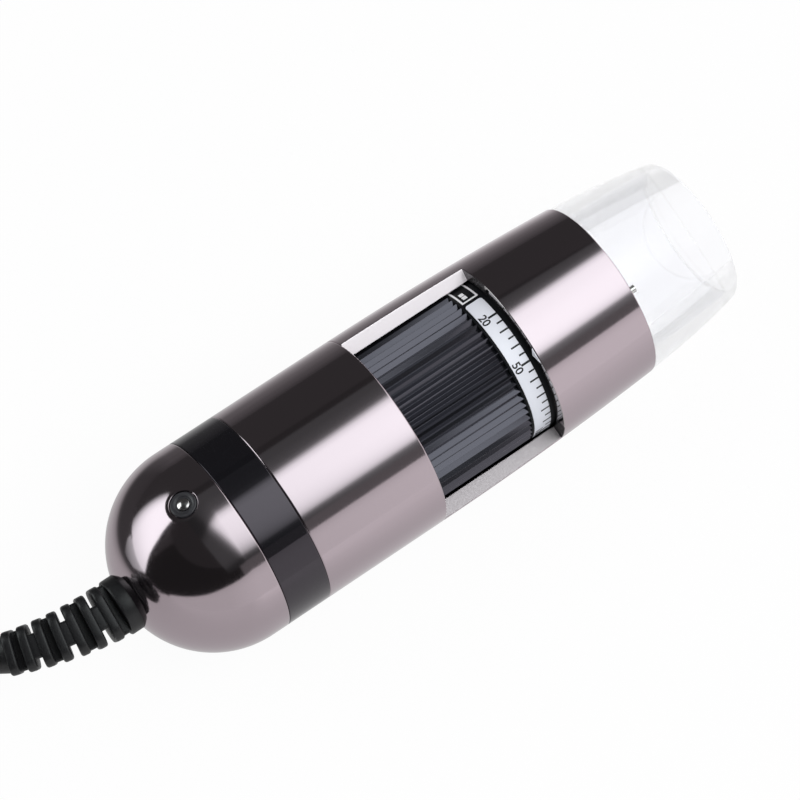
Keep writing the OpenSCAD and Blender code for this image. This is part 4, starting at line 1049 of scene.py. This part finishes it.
def cap_profile(notched):
    """Section of the cap from its spigot round the lip, with its outer start cut back at the notch."""
    outer = [cap_point(0, CAP_LEAN + (CAP_LEAN_END - CAP_LEAN) * i / 20) for i in range(1, 21)]
    outer = [(x, r) for x, r in outer if x > X_RIM + NOTCH_LEN + 0.2]
    lip_x, lip_mid = cap_point(LIP_ROUND, CAP_LEAN_END)
    lip_turns = [CAP_LEAN_END + (pi / 2 - CAP_LEAN_END) * i / 8 for i in range(1, 9)]
    lip = [(lip_x + LIP_ROUND * sin(a), lip_mid + LIP_ROUND * cos(a)) for a in lip_turns]
    drop = CAP_BORE_R - MOUTH_R
    bore_curve_r = (CAP_LEN ** 2 + drop ** 2) / (2 * drop)
    along = [CAP_LEN * (1 - i / 18) for i in range(19)]
    bore = [(X_RIM + a, CAP_BORE_R - bore_curve_r + sqrt(bore_curve_r ** 2 - a ** 2)) for a in along]
    spigot = [(X_RIM - SPIGOT_LEN, CAP_BORE_R), (X_RIM - SPIGOT_LEN, SPIGOT_R - 0.2),
              (X_RIM - SPIGOT_LEN + 0.2, SPIGOT_R), (X_RIM, SPIGOT_R)]
    edge_r = cap_point(0, CAP_LEAN + asin((NOTCH_LEN + 0.05) / CAP_CURVE_R))[1]
    if notched:
        start = [(X_RIM, NOTCH_R), (X_RIM + 0.06, NOTCH_R), (X_RIM + NOTCH_LEN, NOTCH_R),
                 (X_RIM + NOTCH_LEN + 0.05, edge_r)]
    else:
        start = [(X_RIM, CAP_R - 0.06), (X_RIM + 0.06, CAP_R), (X_RIM + NOTCH_LEN, edge_r + 0.003),
                 (X_RIM + NOTCH_LEN + 0.05, edge_r)]
    return spigot + start + outer + lip + bore


def make_cap():
    notch = NOTCH_HALF / NOTCH_MID_R * 180 / pi
    count = 234
    free = 360 - 2 * notch - 0.2
    turns = [INDEX_TURN + notch + 0.1 + free * i / count for i in range(count + 1)]
    loops = [[at(x, r, turn) for x, r in cap_profile(False)] for turn in turns]
    cut_turns = [INDEX_TURN - notch + 2 * notch * i / 6 for i in range(7)]
    loops += [[at(x, r, turn) for x, r in cap_profile(True)] for turn in cut_turns]
    return make("cap_shell", *loops_to_mesh(loops), finishes["cap_clear"], "cap_clear", "cap", ("front_cap",))


make_cap()

# Ribbon from the main board to the sensor

RIBBON_T = 0.2
RIBBON_RISE_R = 2.0
RIBBON_TOP_R = 1.6
RIBBON_END_R = 1.0
RIBBON_STEPS = 12


def ribbon_arc(x, z, r, turn_from, turn_to):
    """Points (x, z) of an arc, with its turns in degrees from +X towards +Z."""
    turns = [radians(turn_from + (turn_to - turn_from) * i / RIBBON_STEPS) for i in range(RIBBON_STEPS + 1)]
    return [(x + r * cos(a), z + r * sin(a)) for a in turns]


def make_ribbon():
    """Ribbon that rises, loops over and enters the sensor's socket."""
    low, high = (corner / MM for corner in map(Vector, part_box("flex_cable")))
    socket_low, socket_high = (corner / MM for corner in map(Vector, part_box("sensor_socket")))
    flat_z = low.z + RIBBON_T / 2
    top_z = high.z - RIBBON_T / 2 - RIBBON_TOP_R
    socket_z = (socket_low.z + socket_high.z) / 2
    x_down = high.x - RIBBON_END_R
    x_up = x_down - 2 * RIBBON_TOP_R
    x_rise = x_up - RIBBON_RISE_R
    path = [(low.x + (x_rise - low.x) * i / RIBBON_STEPS, flat_z) for i in range(RIBBON_STEPS)]
    path += ribbon_arc(x_rise, flat_z + RIBBON_RISE_R, RIBBON_RISE_R, 270, 360)
    path += ribbon_arc(x_up + RIBBON_TOP_R, top_z, RIBBON_TOP_R, 180, 0)
    path += ribbon_arc(high.x, socket_z + RIBBON_END_R, RIBBON_END_R, 180, 270)
    loops = []
    for i, (x, z) in enumerate(path):
        before, after = path[max(i - 1, 0)], path[min(i + 1, len(path) - 1)]
        across = Vector((before[1] - after[1], after[0] - before[0])).normalized() * RIBBON_T / 2
        sides = [(-1, low.y), (-1, high.y), (1, high.y), (1, low.y)]
        loops.append([(x + side * across.x, y, z + side * across.y) for side, y in sides])
    ribbon = make("sensor_ribbon", *loops_to_mesh(loops, close_across=False), finishes["ribbon_amber"],
                  "ribbon_amber", None, ("flex_cable",))
    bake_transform(ribbon)


make_ribbon()

# Nodes that keep their solid shape

node_slots = {part["node"]: part["material_slot"] for part in frame["record"]["subparts"]}
for name, node in frame["nodes"].items():
    finish = finishes[node_slots[name]]
    node.data.materials.clear()
    node.data.materials.append(finish)

# Studio


def level_along(tree, direction, stops):
    """Level that follows stops of place in millimetres and level along a direction."""
    place = tree.nodes.new("ShaderNodeTexCoord")
    measure = tree.nodes.new("ShaderNodeVectorMath")
    measure.operation = "DOT_PRODUCT"
    measure.inputs[1].default_value = direction
    tree.links.new(place.outputs["Object"], measure.inputs[0])
    return follow(tree, measure.outputs["Value"], [(x * MM, level) for x, level in stops])


def combine(tree, operation, a, b, clamp=False):
    """Output of a math node on two sockets or numbers."""
    node = tree.nodes.new("ShaderNodeMath")
    node.operation = operation
    node.use_clamp = clamp
    for socket, value in zip(node.inputs, (a, b)):
        if isinstance(value, (int, float)):
            socket.default_value = value
        else:
            tree.links.new(value, socket)
    return node.outputs["Value"]


def backdrop_rays(tree, rays):
    """One for rays from the eye, in gloss or through a clear piece, and zero for others."""
    seen = combine(tree, "MAXIMUM", rays.outputs["Is Camera Ray"], rays.outputs["Is Glossy Ray"])
    return combine(tree, "MAXIMUM", seen, rays.outputs["Is Transmission Ray"])


ROOM_LEVEL = 0.03


def emitter(name, corners, colour, strength, grades=()):
    """A flat card that only shows in gloss, its strength graded along each direction given."""
    mesh = bpy.data.meshes.new(name)
    mesh.from_pydata([tuple(c * MM for c in p) for p in corners], [], [tuple(range(len(corners)))])
    material = bpy.data.materials.new(name)
    material.use_nodes = True
    tree = material.node_tree
    tree.nodes.remove(tree.nodes["Principled BSDF"])
    glow = tree.nodes.new("ShaderNodeEmission")
    glow.inputs["Color"].default_value = (*colour, 1.0)
    glow.inputs["Strength"].default_value = strength
    level = strength
    for direction, stops in grades:
        level = combine(tree, "MULTIPLY", level_along(tree, direction, stops), level)
    if grades:
        tree.links.new(combine(tree, "ADD", level, ROOM_LEVEL), glow.inputs["Strength"])
    tree.links.new(glow.outputs["Emission"], tree.nodes["Material Output"].inputs["Surface"])
    mesh.materials.append(material)
    card = stand(name, mesh)
    card.visible_camera = False
    card.visible_diffuse = False
    card.visible_transmission = False
    card.visible_shadow = False
    return card


# White of the floor as the body mirrors it, by place across the body in millimetres: beside the sleeves, and
# beside the dome along a slant. The levels began as tones measured in the photo and were then tuned.
# Their dip next to the body is a painted shadow of the body, and their fall behind the body is painted shade.
SLEEVE_FLOOR = [(-300, 0.97), (-110, 0.91), (-60, 0.82), (-30, 0.70), (-16, 0.73), (16, 0.95), (22, 0.87),
                (40, 0.43), (50, 0.28), (70, 0.17), (120, 0.10), (300, 0.06)]
SLEEVE_SLANT = (-0.15, 1.0, 0.0)
DOME_FLOOR = [(-250, 0.74), (-60, 0.69), (10, 0.61), (40, 0.61), (46, 0.58), (56, 0.40), (65, 0.09),
              (72, 0.04), (80, 0.03)]
DOME_SLANT = (-0.29, 1.0, 0.0)
FLOOR_BLEND = [(-45, 0.0), (-5, 1.0)]
FLOOR_HALF = 3000.0
FLOOR_Z = -0.2
FLOOR_WHITE = 0.95


def mirrored_floor(tree, rays):
    """Level of the floor's white: full to the eye and through clear pieces, and in gloss graded with a
    painted shadow near the body and painted shade behind it.
    """
    beside = tree.nodes.new("ShaderNodeMix")
    tree.links.new(level_along(tree, (1.0, 0.0, 0.0), FLOOR_BLEND), beside.inputs["Factor"])
    tree.links.new(level_along(tree, DOME_SLANT, DOME_FLOOR), beside.inputs["A"])
    tree.links.new(level_along(tree, SLEEVE_SLANT, SLEEVE_FLOOR), beside.inputs["B"])
    mirrored = combine(tree, "SUBTRACT", rays.outputs["Is Glossy Ray"], rays.outputs["Is Transmission Ray"],
                       clamp=True)
    level = tree.nodes.new("ShaderNodeMix")
    level.inputs["A"].default_value = 1.0
    tree.links.new(mirrored, level.inputs["Factor"])
    tree.links.new(beside.outputs["Result"], level.inputs["B"])
    return level.outputs["Result"]


def make_floor():
    mesh = bpy.data.meshes.new("floor")
    corners = [(-1, -1), (1, -1), (1, 1), (-1, 1)]
    mesh.from_pydata([(x * FLOOR_HALF * MM, y * FLOOR_HALF * MM, FLOOR_Z * MM) for x, y in corners],
                     [], [(0, 1, 2, 3)])
    material, tree, shader = grained("floor", (0.88, 0.875, 0.88), 0.9, grain=900, shade=0.01, swing=0.03,
                                     relief=0.0)
    rays = tree.nodes.new("ShaderNodeLightPath")
    white = tree.nodes.new("ShaderNodeEmission")
    mix = tree.nodes.new("ShaderNodeMixShader")
    tree.links.new(mirrored_floor(tree, rays), white.inputs["Strength"])
    tree.links.new(combine(tree, "MULTIPLY", backdrop_rays(tree, rays), FLOOR_WHITE), mix.inputs["Fac"])
    tree.links.new(shader.outputs["BSDF"], mix.inputs[1])
    tree.links.new(white.outputs["Emission"], mix.inputs[2])
    tree.links.new(mix.outputs["Shader"], tree.nodes["Material Output"].inputs["Surface"])
    mesh.materials.append(material)
    ground = stand("floor", mesh)


def make_world():
    world = bpy.data.worlds.new("studio")
    bpy.context.scene.world = world
    world.use_nodes = True
    tree = world.node_tree
    soft = tree.nodes["Background"]
    soft.inputs["Color"].default_value = (0.97, 0.975, 1.0, 1.0)
    soft.inputs["Strength"].default_value = 0.42
    white = tree.nodes.new("ShaderNodeBackground")
    white.inputs["Color"].default_value = (1.0, 1.0, 1.0, 1.0)
    white.inputs["Strength"].default_value = 1.0
    rays = tree.nodes.new("ShaderNodeLightPath")
    mix = tree.nodes.new("ShaderNodeMixShader")
    tree.links.new(backdrop_rays(tree, rays), mix.inputs["Fac"])
    tree.links.new(soft.outputs["Background"], mix.inputs[1])
    tree.links.new(white.outputs["Background"], mix.inputs[2])
    tree.links.new(mix.outputs["Shader"], tree.nodes["World Output"].inputs["Surface"])


def make_lamp(name, place, size, power):
    data = bpy.data.lights.new(name, "AREA")
    data.shape = "SQUARE"
    data.size = size
    data.energy = power
    lamp = stand(name, data)
    lamp.location = place
    lamp.rotation_euler = Vector(place).to_track_quat("Z", "Y").to_euler()
    lamp.visible_glossy = False


# Strength over the softboxes and the front board by place in millimetres. Like the floor's levels, the stops
# and outlines began as tones and edges measured in the photo and were then tuned.
SOFT_WHITE = (0.93, 1.0, 0.995)
SOFT_STRENGTH = 2.13
SOFTBOX_Z = 416.0
SOFTBOX = [(-170, 290), (560, 290), (560, -420), (-170, -520)]
SOFTBOX_NEAR = ((-0.25, 1.0, 0.0), [(-520, 0.07), (-440, 0.11), (-405, 0.21), (-390, 0.45), (-365, 0.70),
                                    (-330, 0.86), (-290, 0.95), (-240, 1.0)])
SOFTBOX_FAR = ((-0.5, 1.0, 0.0), [(-170, 1.0), (-20, 0.93), (16, 0.74), (34, 0.45), (58, 0.09), (92, 0.045),
                                  (170, 0.03)])
SOFTBOX_ALONG = ((1.0, 0.306, 0.0), [(-140, 0.03), (-110, 0.04), (-90, 0.07), (-75, 0.13), (-60, 0.25),
                                     (-36, 0.58), (-22, 0.72), (0, 0.83), (30, 0.93), (70, 1.0)])
# Left softbox: the direction that it faces and its corners as seen from the dome's centre, by turn and rise
PANEL_D = 260.0
PANEL_FACING = (138, 18)
PANEL = [(101, 29), (117, 41.5), (131.5, 48.5), (152.5, 31), (161, 15.5), (167, 4.5), (169, -1), (126, -1),
         (121, 5), (113.5, 14.5), (106.5, 22)]
PANEL_UP = ((0.0, 0.0, 1.0), [(0, 0.58), (16, 0.67), (75, 0.90), (105, 0.97), (135, 1.0)])
PANEL_ACROSS = ((-0.67, -0.74, 0.69), [(-26, 0.12), (-10, 0.4), (8, 0.72), (30, 0.92), (55, 1.0)])
# Card lying on the floor under the left softbox that glows in gloss: a painted pool of the softbox's light
PAINTED_POOL_Z = 0.4
PAINTED_POOL = [(-110, 48), (-150, 100), (-230, 185), (-460, 330), (-700, 300), (-460, 95), (-235, 56),
              (-150, 42)]
PAINTED_POOL_ALONG = ((-1.0, 0.0, 0.0), [(100, 0.1), (112, 0.22), (140, 0.42), (165, 0.54), (245, 0.68), (360, 0.75),
                                 (460, 0.9)])
CARD_FOOT = 0.2
BOARD_Y = -250.0
BOARD_TOP = [(-900, 40), (-470, 90), (-245, 115), (-130, 136), (30, 153), (120, 158), (460, 158)]
BOARD_ALONG = ((1.0, 0.0, 0.0), [(-450, 0.66), (-130, 0.68), (-36, 0.77), (20, 0.82), (60, 0.92), (100, 0.97),
                                 (460, 1.0)])
BOARD_UP = ((0.0, 0.0, 1.0), [(90, 1.0), (115, 0.97), (140, 0.88), (158, 0.8)])
RIGHT_BOX = [(430, -420, CARD_FOOT), (430, 260, CARD_FOOT), (330, 260, 420), (330, -420, 420)]
WALL_D = 1100.0
WALLS = 24
CEILING_LEVEL = 0.035


def facing(turn, rise):
    """Direction by its turn from +X towards +Y and its rise, in degrees."""
    turn, rise = radians(turn), radians(rise)
    return Vector((cos(rise) * cos(turn), cos(rise) * sin(turn), sin(rise)))


def wall_level(middle):
    """Level of a wall by its direction: lighter before the body at the right, darkest at the left."""
    if middle.y < -0.9 and middle.x > 0:
        return 0.15
    return 0.02 if middle.y < 0.3 and middle.x < 0.3 else 0.05


def make_cards():
    """Softboxes above, at the left and at the right, a painted pool of the left one's light on the floor, a
    board in front, and dark walls and a ceiling.
    """
    box = [(x, y, SOFTBOX_Z) for x, y in SOFTBOX]
    emitter("softbox_top", box, SOFT_WHITE, SOFT_STRENGTH, (SOFTBOX_NEAR, SOFTBOX_FAR, SOFTBOX_ALONG))
    middle = facing(*PANEL_FACING)
    views = [facing(*corner) for corner in PANEL]
    left = [DOME_CENTRE + PANEL_D * view / view.dot(middle) for view in views]
    emitter("softbox_left", left, SOFT_WHITE, SOFT_STRENGTH, (PANEL_UP, PANEL_ACROSS))
    # Painted pool of the left softbox's light on the floor
    foot = [(x, y, PAINTED_POOL_Z) for x, y in PAINTED_POOL]
    emitter("left_light_pool_painted", foot, SOFT_WHITE, 1.0, (PAINTED_POOL_ALONG,))
    front = [(x, BOARD_Y, z) for x, z in BOARD_TOP]
    front += [(x, BOARD_Y, CARD_FOOT) for x in (BOARD_TOP[-1][0], BOARD_TOP[0][0])]
    emitter("front_board", front, (1.0, 1.0, 1.0), 1.0, (BOARD_ALONG, BOARD_UP))
    emitter("softbox_right", RIGHT_BOX, (1.0, 1.0, 1.0), 1.0)
    rise = Vector((0, 0, WALL_D))
    low = [Vector((x, y, CARD_FOOT)) for x, y in circle(WALL_D, WALLS)]
    for i, corner in enumerate(low):
        after = low[(i + 1) % WALLS]
        level = wall_level((corner + after) / WALL_D)
        emitter("dark_wall_%02d" % i, [corner, after, after + rise, corner + rise], (1, 1, 1), level)
    emitter("dark_ceiling", [p + rise for p in low], (1, 1, 1), CEILING_LEVEL)


make_floor()
make_world()
make_lamp("key", (0.15, -0.35, 0.75), 0.5, 4.0)
make_lamp("fill", (-0.5, 0.35, 0.6), 0.5, 1.2)
make_cards()
bpy.context.scene.view_settings.view_transform = "Standard"
